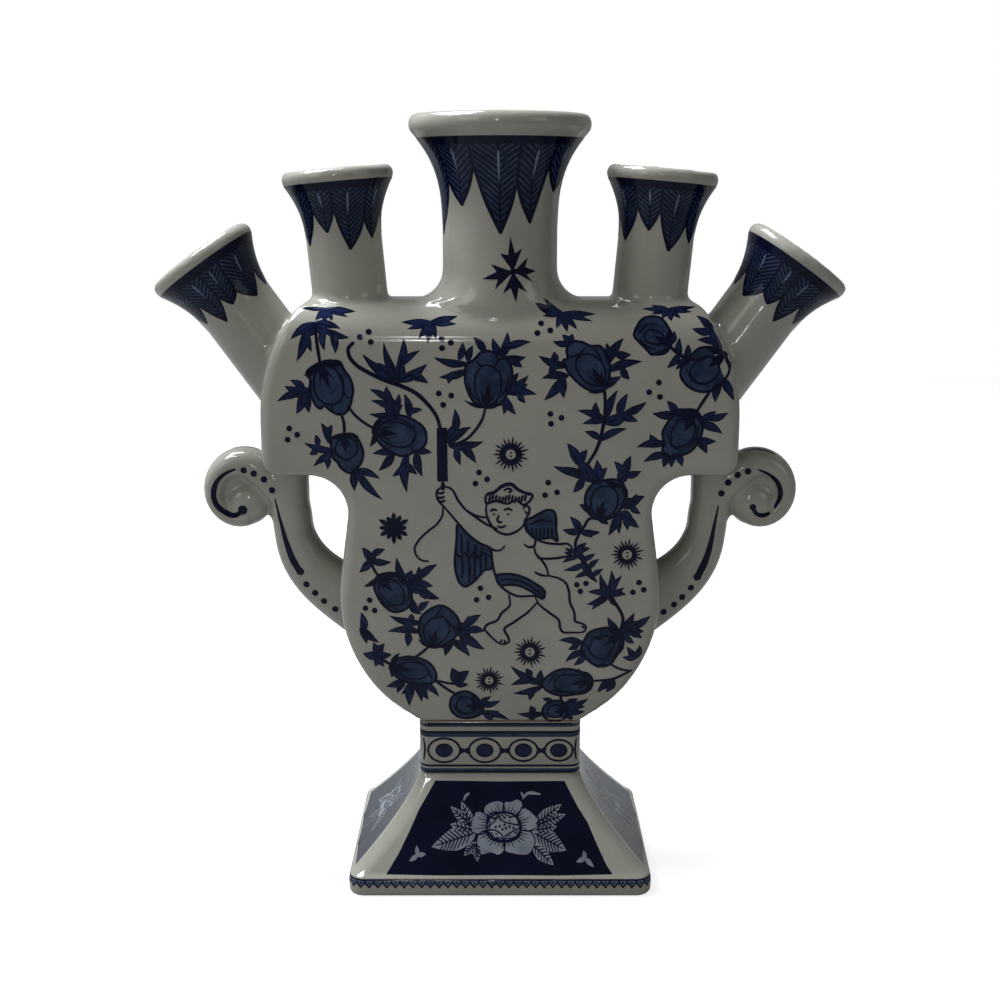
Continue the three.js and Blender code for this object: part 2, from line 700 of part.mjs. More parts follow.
vase.add(pieceOf('collar', toGeometry(collarForm()), glaze));
vase.add(pieceOf('water_chamber_floor', toGeometry(chamberFloorForm()), glaze));
vase.add(pieceOf('foot', toGeometry(footForm(0).subtract(footForm(WALL))), cobalt));

export default vase;
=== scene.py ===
"""Blue and white tulip vase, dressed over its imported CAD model.

Everything is in metres with +Z up, in the frame of the CAD model, and the front faces -Y.
Sizes are written in millimetres and turned into metres where a mesh is made.
"""

import logging
import math
from collections.abc import Iterable
from dataclasses import dataclass, field, replace
from enum import Enum

import bmesh
import bpy
from mathutils import Matrix, Vector
from mathutils.bvhtree import BVHTree
from mathutils.geometry import delaunay_2d_cdt

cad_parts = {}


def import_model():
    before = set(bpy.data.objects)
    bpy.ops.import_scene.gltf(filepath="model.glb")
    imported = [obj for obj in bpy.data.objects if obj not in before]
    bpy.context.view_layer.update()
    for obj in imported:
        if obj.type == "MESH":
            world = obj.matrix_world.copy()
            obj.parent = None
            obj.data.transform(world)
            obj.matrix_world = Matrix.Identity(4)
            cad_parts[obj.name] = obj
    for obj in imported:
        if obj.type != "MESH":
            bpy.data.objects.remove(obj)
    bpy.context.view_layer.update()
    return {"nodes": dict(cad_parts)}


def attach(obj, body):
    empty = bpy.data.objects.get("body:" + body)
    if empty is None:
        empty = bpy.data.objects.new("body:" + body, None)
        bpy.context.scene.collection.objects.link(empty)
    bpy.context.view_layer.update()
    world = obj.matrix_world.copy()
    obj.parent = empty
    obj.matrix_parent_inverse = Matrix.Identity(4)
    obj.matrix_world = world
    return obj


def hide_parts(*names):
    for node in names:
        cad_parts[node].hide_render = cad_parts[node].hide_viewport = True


LOG = logging.getLogger("tulip_vase")
MM = 0.001

Point = tuple[float, float]
Point3 = tuple[float, float, float]
Points = tuple[Point, ...]
Corner = tuple[float, float, float]
Blade = tuple[float, float, float, float, float]
Ring = list[Vector]
Ray = tuple[Vector, Vector, float]
Piece = bpy.types.Object


class Part(Enum):
    """Nodes of the CAD model that the dressed pieces stand for."""

    BODY_FRONT = "body_front"
    BODY_BACK = "body_back"
    CENTRE_SPOUT = "centre_spout"
    INNER_LEFT = "inner_left_spout"
    INNER_RIGHT = "inner_right_spout"
    OUTER_LEFT = "outer_left_spout"
    OUTER_RIGHT = "outer_right_spout"
    LEFT_HANDLE = "left_handle"
    RIGHT_HANDLE = "right_handle"
    COLLAR = "collar"
    CHAMBER_FLOOR = "water_chamber_floor"
    FOOT = "foot"


class Slot(Enum):
    """Material slots of the record."""

    GLAZE = "white_glaze"
    COBALT = "cobalt_glaze"


class Face(Enum):
    """Sides of the vase that carry painting, with the turn that brings the front there."""

    FRONT = 0.0
    RIGHT = 90.0
    BACK = 180.0
    LEFT = 270.0

    def other(self) -> "Face":
        """Give the opposite side."""
        return Face((self.value + 180.0) % 360.0)


class Coat(Enum):
    """Colours that a piece or a film of paint wears."""

    GROUND = "ground"
    LINE = "line"
    EDGE = "edge"
    PETAL = "petal"
    LEAF = "leaf"
    PANEL = "panel"
    RESERVE = "reserve"
    PALE_BLUE = "pale_blue"


# Mesh tools


def let_go() -> None:
    """Deselect everything, in object mode."""
    if bpy.context.object and bpy.context.object.mode != "OBJECT":
        bpy.ops.object.mode_set(mode="OBJECT")
    bpy.ops.object.select_all(action="DESELECT")


def take(piece: Piece) -> None:
    """Make one piece the only selected one, and the active one.

    Args:
        piece: The object to work on.
    """
    let_go()
    piece.select_set(True)
    bpy.context.view_layer.objects.active = piece


def blend(start: float, end: float, share: float) -> float:
    """Give the value that lies a share of the way from start to end."""
    return start + (end - start) * share


def rounded_outline(
    corners: list[Corner], inset: float = 0.0, least: float = 0.5, step_degrees: float = 5.0,
) -> list[Point]:
    """Join straight sides by round corners.

    Args:
        corners: Corners run anticlockwise, each as x, y and radius.
        inset: How far every side moves inwards.
        least: The smallest radius that a corner keeps.
        step_degrees: The turn of one short side on a round corner.

    Returns:
        Points of the closed outline, with the same count for each inset.
    """
    count = len(corners)
    sides = []
    for i, (x, y, _) in enumerate(corners):
        nx, ny, _ = corners[(i + 1) % count]
        along = Vector((nx - x, ny - y)).normalized()
        inward = Vector((-along.y, along.x))
        sides.append((Vector((x, y)) + inward * inset, along))
    joints = []
    for i, (_, _, radius) in enumerate(corners):
        before, after = sides[i - 1], sides[i]
        cross = before[1].cross(after[1])
        reach = (after[0] - before[0]).cross(after[1]) / cross
        point = before[0] + before[1] * reach
        turn = math.atan2(cross, before[1].dot(after[1]))
        wanted = max(radius - math.copysign(inset, turn), least)
        joints.append([point, turn, wanted, wanted * math.tan(abs(turn) / 2)])
    outline: list[Point] = []
    for i, (point, turn, radius, cut) in enumerate(joints):
        back, ahead = joints[i - 1], joints[(i + 1) % count]
        room_back = (point - back[0]).length / (cut + back[3])
        room_ahead = (point - ahead[0]).length / (cut + ahead[3])
        share = min(1.0, room_back * 0.98, room_ahead * 0.98)
        arrive = sides[i - 1][1]
        start = point - arrive * cut * share
        normal = Vector((-arrive.y, arrive.x)) * math.copysign(1.0, turn)
        centre = start + normal * radius * share
        steps = max(2, math.ceil(math.degrees(abs(turn)) / step_degrees))
        for k in range(steps + 1):
            spoke = start - centre
            spoke.rotate(Matrix.Rotation(turn * k / steps, 2))
            outline.append((centre.x + spoke.x, centre.y + spoke.y))
    return outline


def rectangle(width: float, depth: float, radius: float) -> list[Corner]:
    """Give the corners of a rectangle round the middle, each with a radius."""
    x, y = width / 2, depth / 2
    return [(-x, -y, radius), (x, -y, radius), (x, y, radius), (-x, y, radius)]


def plan(
    width: float, depth: float, radius: float, z: float, inset: float, least: float,
    step_degrees: float,
) -> Ring:
    """Give the points of a level rectangle with round corners, as rounded_outline makes them."""
    outline = rounded_outline(rectangle(width, depth, radius), inset, least, step_degrees)
    return [Vector((x, y, z)) for x, y in outline]


def curve_points(a: Vector, b: Vector, c: Vector, d: Vector, steps: int) -> list[Vector]:
    """Sample a smooth curve that leaves a towards b and reaches d from c.

    Args:
        a: Start.
        b: Pull of the start.
        c: Pull of the end.
        d: End.
        steps: How many stretches it is cut into.

    Returns:
        Points from start to end.
    """
    points = []
    for i in range(steps + 1):
        t = i / steps
        s = 1 - t
        points.append(a * s**3 + b * 3 * s * s * t + c * 3 * s * t * t + d * t**3)
    return points


def extruded(name: str, rings: list[Ring]) -> Piece:
    """Shape a filled circle into the first ring and extrude it through the others.

    Args:
        name: Name of the new object.
        rings: Rows of points in millimetres, all with the same count.

    Returns:
        The closed object, with its normals outside.
    """
    let_go()
    bpy.ops.mesh.primitive_circle_add(vertices=len(rings[0]), fill_type="NGON")
    piece = bpy.context.object
    piece.name = name
    for vertex, point in zip(piece.data.vertices, rings[0]):
        vertex.co = point * MM
    bpy.ops.object.mode_set(mode="EDIT")
    bpy.ops.mesh.select_all(action="SELECT")
    for before, ring in zip(rings, rings[1:]):
        step = (ring[0] - before[0]) * MM
        bpy.ops.mesh.extrude_region_move(TRANSFORM_OT_translate={"value": step})
        work = bmesh.from_edit_mesh(piece.data)
        # An extrusion gives its new points in the order of the old ones
        for vertex, point in zip([v for v in work.verts if v.select], ring):
            vertex.co = point * MM
        bmesh.update_edit_mesh(piece.data)
    bpy.ops.mesh.select_all(action="SELECT")
    bpy.ops.mesh.normals_make_consistent(inside=False)
    let_go()
    return piece


def spun(name: str, profile: list[Point], steps: int, place: Matrix) -> Piece:
    """Throw a closed profile round its own upright axis, as on a wheel.

    Args:
        name: Name of the new object.
        profile: Closed row of radius and height, in millimetres.
        steps: How many flats go round.
        place: Where the axis stands, in metres.

    Returns:
        The closed object.
    """
    let_go()
    bpy.ops.mesh.primitive_circle_add(vertices=len(profile), fill_type="NOTHING")
    piece = bpy.context.object
    piece.name = name
    for vertex, (radius, height) in zip(piece.data.vertices, profile):
        vertex.co = Vector((radius, 0.0, height)) * MM
    bpy.ops.object.mode_set(mode="EDIT")
    bpy.ops.mesh.select_all(action="SELECT")
    bpy.ops.mesh.spin(
        steps=steps, angle=math.tau, center=(0, 0, 0), axis=(0, 0, 1), use_auto_merge=True,
        dupli=False,
    )
    bpy.ops.mesh.select_all(action="SELECT")
    bpy.ops.mesh.remove_doubles(threshold=0.00002)
    bpy.ops.mesh.normals_make_consistent(inside=False)
    let_go()
    piece.data.transform(place)
    return piece


def combine(piece: Piece, others: Iterable[Piece], how: str) -> None:
    """Add, cut or keep the common part with other pieces, which are used up.

    Args:
        piece: The object that is changed.
        others: The objects it is combined with.
        how: UNION, DIFFERENCE or INTERSECT.
    """
    for other in others:
        take(piece)
        step = piece.modifiers.new("combine", "BOOLEAN")
        step.operation = how
        step.solver = "EXACT"
        step.object = other
        bpy.ops.object.modifier_apply(modifier=step.name)
        bpy.data.objects.remove(other, do_unlink=True)


def soften(piece: Piece, voxel: float, passes: int) -> None:
    """Run thick glaze over a form: remesh it finely and let its edges relax.

    Args:
        piece: The object that is changed.
        voxel: Size of one cell in millimetres.
        passes: How often the surface is evened out.
    """
    take(piece)
    remesh = piece.modifiers.new("glaze", "REMESH")
    remesh.mode = "VOXEL"
    remesh.voxel_size = voxel * MM
    remesh.use_smooth_shade = True
    bpy.ops.object.modifier_apply(modifier=remesh.name)
    relax = piece.modifiers.new("relax", "SMOOTH")
    relax.factor = 0.5
    relax.iterations = passes
    bpy.ops.object.modifier_apply(modifier=relax.name)


def finish_shape(piece: Piece, angle_degrees: float) -> None:
    """Shade a piece smooth, but for edges that are sharper than an angle.

    Args:
        piece: The finished mesh.
        angle_degrees: Edges that turn by more stay crisp.
    """
    take(piece)
    bpy.ops.object.shade_smooth_by_angle(angle=math.radians(angle_degrees))
    let_go()


def tree_of(piece: Piece) -> BVHTree:
    """Give a search tree over a piece's faces, for laying paint on it.

    Args:
        piece: The finished piece.

    Returns:
        The tree, in metres.
    """
    work = bmesh.new()
    work.from_mesh(piece.data)
    tree = BVHTree.FromBMesh(work)
    work.free()
    return tree


# Finishes


def srgb(red: int, green: int, blue: int) -> tuple[float, float, float, float]:
    """Turn a colour as a screen shows it, 0 to 255, into Blender's linear one.

    Args:
        red: Red share.
        green: Green share.
        blue: Blue share.

    Returns:
        Linear colour with full alpha.
    """
    shares = []
    for value in (red, green, blue):
        share = value / 255
        shares.append(share / 12.92 if share <= 0.04045 else ((share + 0.055) / 1.055) ** 2.4)
    return shares[0], shares[1], shares[2], 1.0


def add_node(
    tree: bpy.types.NodeTree, kind: str, values: dict[str | int, object] | None = None,
    operation: str = "",
) -> bpy.types.Node:
    """Add a shader node and set the sockets that nothing is linked to.

    Args:
        tree: Nodes of a material or of the world.
        kind: The node's type, without the word that all shader nodes start with.
        values: A value for each socket that is set.
        operation: What a Math node does.

    Returns:
        The new node.
    """
    node = tree.nodes.new("ShaderNode" + kind)
    for socket, value in (values or {}).items():
        node.inputs[socket].default_value = value
    if operation:
        node.operation = operation
    return node


@dataclass(frozen=True)
class Glaze:
    """A glossy glaze whose tone drifts a little, as brushed or poured colour does."""

    name: str
    pale: tuple[int, int, int]
    deep: tuple[int, int, int]
    patch_mm: float
    roughness: float = 0.09
    specular: float = 0.14
    wave_mm: float = 14.0
    wave_depth_mm: float = 0.05
    contrast: tuple[float, float] = (0.35, 0.65)

    def build(self) -> bpy.types.Material:
        """Make the material.

        Returns:
            A node material on object coordinates.
        """
        material = bpy.data.materials.new(self.name)
        material.use_nodes = True
        tree = material.node_tree
        tree.nodes.clear()
        link = tree.links.new
        output = add_node(tree, "OutputMaterial")
        shader = add_node(tree, "BsdfPrincipled", {"IOR": 1.5, "Specular IOR Level": self.specular})
        link(shader.outputs["BSDF"], output.inputs["Surface"])
        where = add_node(tree, "TexCoord").outputs["Object"]
        patches = add_node(tree, "TexNoise", {
            "Scale": 1 / (self.patch_mm * MM), "Detail": 4.0, "Roughness": 0.6})
        link(where, patches.inputs["Vector"])
        tone = add_node(tree, "ValToRGB")
        stops = zip(tone.color_ramp.elements, self.contrast, (self.deep, self.pale))
        for stop, position, colour in stops:
            stop.position = position
            stop.color = srgb(*colour)
        link(patches.outputs["Fac"], tone.inputs["Fac"])
        link(tone.outputs["Color"], shader.inputs["Base Color"])
        gloss = add_node(tree, "MapRange", {
            "To Min": self.roughness * 0.8, "To Max": self.roughness * 1.3})
        link(patches.outputs["Fac"], gloss.inputs["Value"])
        link(gloss.outputs["Result"], shader.inputs["Roughness"])
        waves = add_node(tree, "TexNoise", {"Scale": 1 / (self.wave_mm * MM), "Detail": 1.0})
        link(where, waves.inputs["Vector"])
        bump = add_node(tree, "Bump", {"Strength": 1.0, "Distance": self.wave_depth_mm * MM})
        link(waves.outputs["Fac"], bump.inputs["Height"])
        link(bump.outputs["Normal"], shader.inputs["Normal"])
        return material


GLAZES = {
    Coat.GROUND: Glaze("vase_white_glaze", (154, 152, 142), (145, 144, 134), 30, specular=0.42),
    Coat.LINE: Glaze("vase_dark_line", (9, 15, 44), (5, 8, 28), 3),
    Coat.PETAL: Glaze("vase_petal_wash", (47, 62, 88), (24, 37, 60), 5),
    Coat.LEAF: Glaze("vase_leaf_wash", (26, 39, 73), (12, 20, 46), 3),
    Coat.PANEL: Glaze("vase_panel_cobalt", (7, 13, 36), (4, 7, 24), 9),
    Coat.RESERVE: Glaze("vase_reserved_white", (126, 130, 138), (101, 107, 118), 4),
    Coat.PALE_BLUE: Glaze("vase_pale_blue", (105, 116, 135), (78, 92, 116), 4),
}


class Finishes:
    """The finishes of the vase, each made once."""

    def __init__(self) -> None:
        """Build each material; edges share the one of the lines."""
        self.made = {coat: glaze.build() for coat, glaze in GLAZES.items()}
        self.made[Coat.EDGE] = self.made[Coat.LINE]

    def put_on(self, piece: Piece, coat: Coat) -> None:
        """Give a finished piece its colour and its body.

        Args:
            piece: The piece.
            coat: The coat that it wears.
        """
        piece.data.materials.clear()
        piece.data.materials.append(self.made[coat])
        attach(piece, "root")


# The vase's own forms


@dataclass(frozen=True)
class Trumpet:
    """A thrown spout: a straight neck, a flare and a thick rolled lip."""

    neck: float
    lip: float
    height: float
    flare: float
    power: float
    band: float
    lip_thickness: float
    base: Point
    lean_degrees: float
    root: float
    wall: float = 3.6

    def mirrored(self) -> "Trumpet":
        """Give the same spout on the other side of the vase."""
        return replace(self, base=(-self.base[0], self.base[1]), lean_degrees=-self.lean_degrees)

    def place(self) -> Matrix:
        """Give the place of the spout's axis, in metres."""
        spot = Matrix.Translation(Vector((self.base[0], 0.0, self.base[1])) * MM)
        return spot @ Matrix.Rotation(math.radians(self.lean_degrees), 4, "Y")

    def flare_start(self) -> float:
        """Give the height at which the neck begins to widen."""
        return self.height - self.band - self.flare

    def radius_at(self, height: float) -> float:
        """Give the outside radius at a height over the base, in millimetres."""
        share = min(max((height - self.flare_start()) / self.flare, 0.0), 1.0)
        return blend(self.neck, self.lip, share**self.power)

    def lip_points(self, steps: int = 12) -> list[Point]:
        """Give the rolled lip's round from its outside to its inside.

        Args:
            steps: How many stretches it has.

        Returns:
            Rows of radius and height, in millimetres.
        """
        half = self.lip_thickness / 2
        points = []
        for i in range(steps + 1):
            angle = math.pi * i / steps
            across = self.lip - half + half * math.cos(angle)
            points.append((across, self.height - half + half * math.sin(angle)))
        return points

    def outside(self) -> list[Point]:
        """Give the closed profile of the spout as a solid.

        Returns:
            Rows of radius and height, in millimetres.
        """
        heights = [self.flare_start() + self.flare * i / 14 for i in range(15)]
        rise = [(self.radius_at(h), h) for h in heights]
        crown = self.lip_points()[:7]
        return [(0.01, -self.root), (self.neck, -self.root), *rise, *crown,
                (0.01, crown[-1][1])]

    def inside(self) -> list[Point]:
        """Give the closed profile of the hollow, which runs out over the lip's crown.

        Returns:
            Rows of radius and height, in millimetres.
        """
        bore = self.neck - self.wall
        mouth = self.lip - self.lip_thickness
        rise = []
        for i in range(15):
            share = i / 14
            rise.append((blend(bore, mouth, share**self.power),
                         self.flare_start() + self.flare * share))
        crown = self.lip_points()[:5:-1]
        top = self.height + 5.0
        return [(0.01, -self.root), (bore, -self.root), *rise, *crown,
                (crown[-1][0], top), (0.01, top)]


CENTRE = Trumpet(17.4, 27.4, 44.8, 30.6, 3.0, 4.4, 4.8, (0.0, 191.0), 0.0, 12.0)
INNER_RIGHT = Trumpet(11.45, 16.8, 38.8, 16.6, 2.1, 3.4, 4.0, (45.7, 181.5), 5.0, 12.0)
OUTER_RIGHT = Trumpet(11.8, 17.4, 49.0, 17.6, 2.1, 3.4, 4.0, (63.3, 154.9), 35.5, 8.0)
INNER_LEFT, OUTER_LEFT = INNER_RIGHT.mirrored(), OUTER_RIGHT.mirrored()
TRUMPETS = (CENTRE, INNER_LEFT, INNER_RIGHT, OUTER_LEFT, OUTER_RIGHT)


@dataclass
class Assembly:
    """A sub-assembly in the white glaze, and the nodes of the CAD model that it stands for."""

    finishes: Finishes
    parts: tuple[Part, ...]
    piece: Piece = field(init=False)

    def dress(self) -> None:
        """Glaze the piece and put it in the place of its CAD nodes."""
        self.finishes.put_on(self.piece, Coat.GROUND)
        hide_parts(*(part.value for part in self.parts))


@dataclass
class Body(Assembly):
    """The flat hollow body with its five spouts, fired as one piece."""

    depth: float = 38.0
    low: float = 50.0
    high: float = 181.5
    underside: float = 129.3
    edge: float = 2.6
    wall: float = 3.6
    vault: float = 12.0
    draw_in: float = 13.0
    end_half: float = 15.3
    throat_top: float = 191.0
    throat_spread: float = 9.0
    spout_flats: int = 80
    bore_flats: int = 64
    off_seam_degrees: float = 1.3
    voxel: float = 0.95
    passes: int = 6
    crease_degrees: float = 50.0

    def front_corners(self) -> list[Corner]:
        """Give the corners of the body seen from the front.

        Returns:
            Corners with their radii, anticlockwise.
        """
        right = [
            (18.0, self.low - 5.2, 3.6),
            (52.6, self.low + 20.8, 46.0),
            (44.6, self.underside, 11.5),
            (72.0, self.underside, 5.0),
            (72.0, self.high - 17.5, 62.0),
            (59.0, self.high, 9.0),
        ]
        return right + [(-x, z, r) for x, z, r in reversed(right)]

    def side_corners(self) -> list[Corner]:
        """Give the corners of the body seen from its right side.

        Returns:
            Corners with their radii, anticlockwise.
        """
        half, knee = self.depth / 2, self.low + self.draw_in
        right = [(self.end_half, self.low, 0.6), (half, knee, 18.0), (half, self.high, self.vault)]
        left = [(-y, z, r) for y, z, r in reversed(right)]
        return [left.pop(), *right, *left]

    def form(self, name: str, inset: float, step_degrees: float) -> Piece:
        """Make the body without spouts as one closed form.

        Args:
            name: Name of the object.
            inset: How much it is smaller on every side, in millimetres.
            step_degrees: How finely round corners are cut.

        Returns:
            The closed form.
        """
        edge = max(self.edge - inset, 0.5)
        half = self.depth / 2 - inset
        turns = 5
        rings = [(-half + edge * (1 - math.sin(math.pi / 2 * i / turns)),
                  edge * (1 - math.cos(math.pi / 2 * i / turns))) for i in range(turns, -1, -1)]
        rings += [(-y, shrink) for y, shrink in reversed(rings)]
        corners = self.front_corners()
        slab_rings = []
        for y, shrink in rings:
            outline = rounded_outline(corners, inset + shrink, edge + 0.3, step_degrees)
            slab_rings.append([Vector((x, y, z)) for x, z in outline])
        slab = extruded(name, slab_rings)
        side = rounded_outline(self.side_corners(), inset, 0.5, step_degrees)
        reach = 90.0
        ends = [[Vector((x, y, z)) for y, z in side] for x in (-reach, reach)]
        combine(slab, [extruded("side_cut", ends)], "INTERSECT")
        return slab

    def throat(self) -> Piece:
        """Make the rise from the shoulders to the middle neck.

        Returns:
            The closed form.
        """
        steps, flats = 14, 96
        heights = [(self.high - self.vault, self.throat_spread)]
        for i in range(steps + 1):
            angle = math.pi / 2 * i / steps
            spread = self.throat_spread * (1 - math.sin(angle))
            heights.append((self.high + self.throat_spread * (1 - math.cos(angle)), spread))
        heights.append((self.throat_top, 0.0))
        turns = [math.tau * i / flats for i in range(flats)]
        neck = CENTRE.neck
        return extruded("throat", [
            [Vector(((neck + spread) * math.cos(a), neck * math.sin(a), z)) for a in turns]
            for z, spread in heights])

    def build(self) -> None:
        """Throw, press and join the body, run the glaze over it and open its chamber."""
        shell = self.form("vase_body", 0.0, 5.0)
        spouts = [spun("spout", t.outside(), self.spout_flats, t.place()) for t in TRUMPETS]
        combine(shell, [self.throat(), *spouts], "UNION")
        # The bores are turned a little, so that no seam of theirs lies on one of a spout
        off_seam = Matrix.Rotation(math.radians(self.off_seam_degrees), 4, "Z")
        for trumpet in TRUMPETS:
            bore = spun("bore", trumpet.inside(), self.bore_flats, trumpet.place() @ off_seam)
            combine(shell, [bore], "DIFFERENCE")
        soften(shell, self.voxel, self.passes)
        combine(shell, [self.form("chamber", self.wall, 15.0)], "DIFFERENCE")
        finish_shape(shell, self.crease_degrees)
        self.piece = shell


@dataclass
class ScrollHandle(Assembly):
    """A solid scroll handle with a rolled volute. Side is -1 for left and 1 for right."""

    side: int = 1
    root: Point = (41.2, 82.2)
    bend: Point = (65.6, 113.0)
    volute: Point = (81.0, 121.5)
    head: Point = (66.3, 131.3)
    turn: float = 8.3
    rise: float = 1.08
    start_degrees: float = 128.0
    end_degrees: float = -108.0
    root_width: float = 21.0
    stem_width: float = 12.4
    neck_width: float = 10.2
    tip_width: float = 4.6
    depth: float = 14.0
    tip_depth: float = 12.4
    roundness: float = 2.5
    eye_shift: Point = (-1.7, -3.8)
    eye_radius: float = 7.2
    web_overlap: float = 1.0
    web_depth: float = 8.0
    flats: int = 28
    voxel: float = 0.62
    passes: int = 12
    crease_degrees: float = 60.0

    def stations(self) -> list[tuple[Vector, float, float]]:
        """Follow the scroll from its root on the belly to the end of its volute.

        Returns:
            Points of the centreline with the section's width and depth.
        """
        volute, root, bend = Vector(self.volute), Vector(self.root), Vector(self.bend)
        start, end = math.radians(self.start_degrees), math.radians(self.end_degrees)

        def on_turn(angle: float) -> Vector:
            """Give a point on the volute's turn."""
            return volute + Vector((math.cos(angle), math.sin(angle) * self.rise)) * self.turn

        turn_start = on_turn(start)
        heading = Vector((math.sin(start), -math.cos(start)))
        stem_pull = (root - bend).length * 0.42
        neck_pull = (bend - turn_start).length * 0.4
        leaving, rising = Vector((0.848, 0.53)), Vector((0.035, 0.999))
        stem = curve_points(root, root + leaving * stem_pull, bend - rising * stem_pull, bend, 18)
        neck = curve_points(bend, bend + rising * neck_pull, turn_start - heading * neck_pull,
                            turn_start, 9)
        found = []
        for i, point in enumerate(stem):
            share = min(1.0, i / (len(stem) - 1) / 0.9)
            found.append((point, blend(self.root_width, self.stem_width, share), self.depth))
        for i, point in enumerate(neck[1:], 1):
            share = i / (len(neck) - 1)
            found.append((point, blend(self.stem_width, self.neck_width, share), self.depth))
        steps = 34
        for i in range(1, steps + 1):
            share = i / steps
            found.append((on_turn(blend(start, end, share)),
                          blend(self.neck_width, self.tip_width, share),
                          blend(self.depth, self.tip_depth, share)))
        return found

    def section(self, angle: float) -> Point:
        """Give a point on the soft oblong section of unit size.

        Args:
            angle: Its turn round the middle.

        Returns:
            Its place across and through the scroll.
        """
        power = 2 / self.roundness
        across, deep = math.cos(angle), math.sin(angle)
        return (math.copysign(abs(across) ** power, across),
                math.copysign(abs(deep) ** power, deep))

    def pad(self, name: str, radius: float, depth: float, centre: Point) -> Piece:
        """Make a round pad across the plane of the body, with soft edges.

        Args:
            name: Name of the object.
            radius: Half its width.
            depth: Its thickness.
            centre: Its middle on the right handle.

        Returns:
            The closed pad.
        """
        profile = [(0.01, -depth / 2)]
        for i in range(1, 12):
            across, deep = self.section(math.pi * i / 12 - math.pi / 2)
            profile.append((max(across * radius, 0.01), deep * depth / 2))
        profile.append((0.01, depth / 2))
        spot = Matrix.Translation(Vector((self.side * centre[0], 0.0, centre[1])) * MM)
        return spun(name, profile, 48, spot @ Matrix.Rotation(math.pi / 2, 4, "X"))

    def sweep(self, name: str, stations: list[tuple[Vector, float, float]]) -> Piece:
        """Extrude the section along a row of stations.

        Args:
            name: Name of the object.
            stations: Points with the section's width and depth.

        Returns:
            The closed strip.
        """
        rings = []
        for i, (point, width, depth) in enumerate(stations):
            before = stations[max(i - 1, 0)][0]
            after = stations[min(i + 1, len(stations) - 1)][0]
            heading = (after - before).normalized()
            across = Vector((heading.y, -heading.x))
            ring = []
            for k in range(self.flats):
                unit = self.section(math.tau * k / self.flats)
                flat = point + across * unit[0] * width / 2
                ring.append(Vector((self.side * flat.x, unit[1] * depth / 2, flat.y)))
            rings.append(ring)
        return extruded(name, rings)

    def build(self) -> None:
        """Join the scroll with its stem's head, rolled eye and sunk web, and soften the whole."""
        scroll = self.sweep(self.parts[0].value.replace("_", "_scroll_", 1), self.stations())
        head = [(Vector((self.head[0], z)), self.stem_width, self.depth)
                for z in (self.bend[1], self.head[1])]
        eye = (self.volute[0] + self.eye_shift[0], self.volute[1] + self.eye_shift[1])
        web_radius = self.turn + self.web_overlap
        combine(scroll, [self.sweep("head", head),
                         self.pad("eye", self.eye_radius, self.tip_depth, eye),
                         self.pad("web", web_radius, self.web_depth, self.volute)], "UNION")
        soften(scroll, self.voxel, self.passes)
        finish_shape(scroll, self.crease_degrees)
        self.piece = scroll


@dataclass
class Collar(Assembly):
    """The upright block between foot and body, open inside down to a ledge."""

    width: float = 51.0
    depth: float = 31.0
    low: float = 32.5
    corner: float = 3.5
    wall: float = 3.6
    ledge: float = 2.2
    ledge_top: float = 5.0
    crease_degrees: float = 35.0

    def build(self) -> None:
        """Shape the block with soft rims, and cut it out above and below its ledge."""
        rims = ((0.0, 0.5), (0.15, 0.2), (0.6, 0.0), (8.7, 0.0), (16.9, 0.0), (17.35, 0.2),
                (17.5, 0.5))
        block = extruded("vase_collar", [
            plan(self.width, self.depth, self.corner, self.low + z, shrink, 0.5, 10.0)
            for z, shrink in rims])
        upper = 2 * self.wall
        lower = upper + 2 * self.ledge
        # Both cuts run well past the block and past each other
        cuts = ((upper, (self.ledge_top, 25.0)), (lower, (-8.0, 10.0)))
        combine(block, [extruded("cut", [
            plan(self.width - less, self.depth - less, 1.0, self.low + z, 0.0, 0.5, 15.0)
            for z in ends]) for less, ends in cuts], "DIFFERENCE")
        finish_shape(block, self.crease_degrees)
        self.piece = block


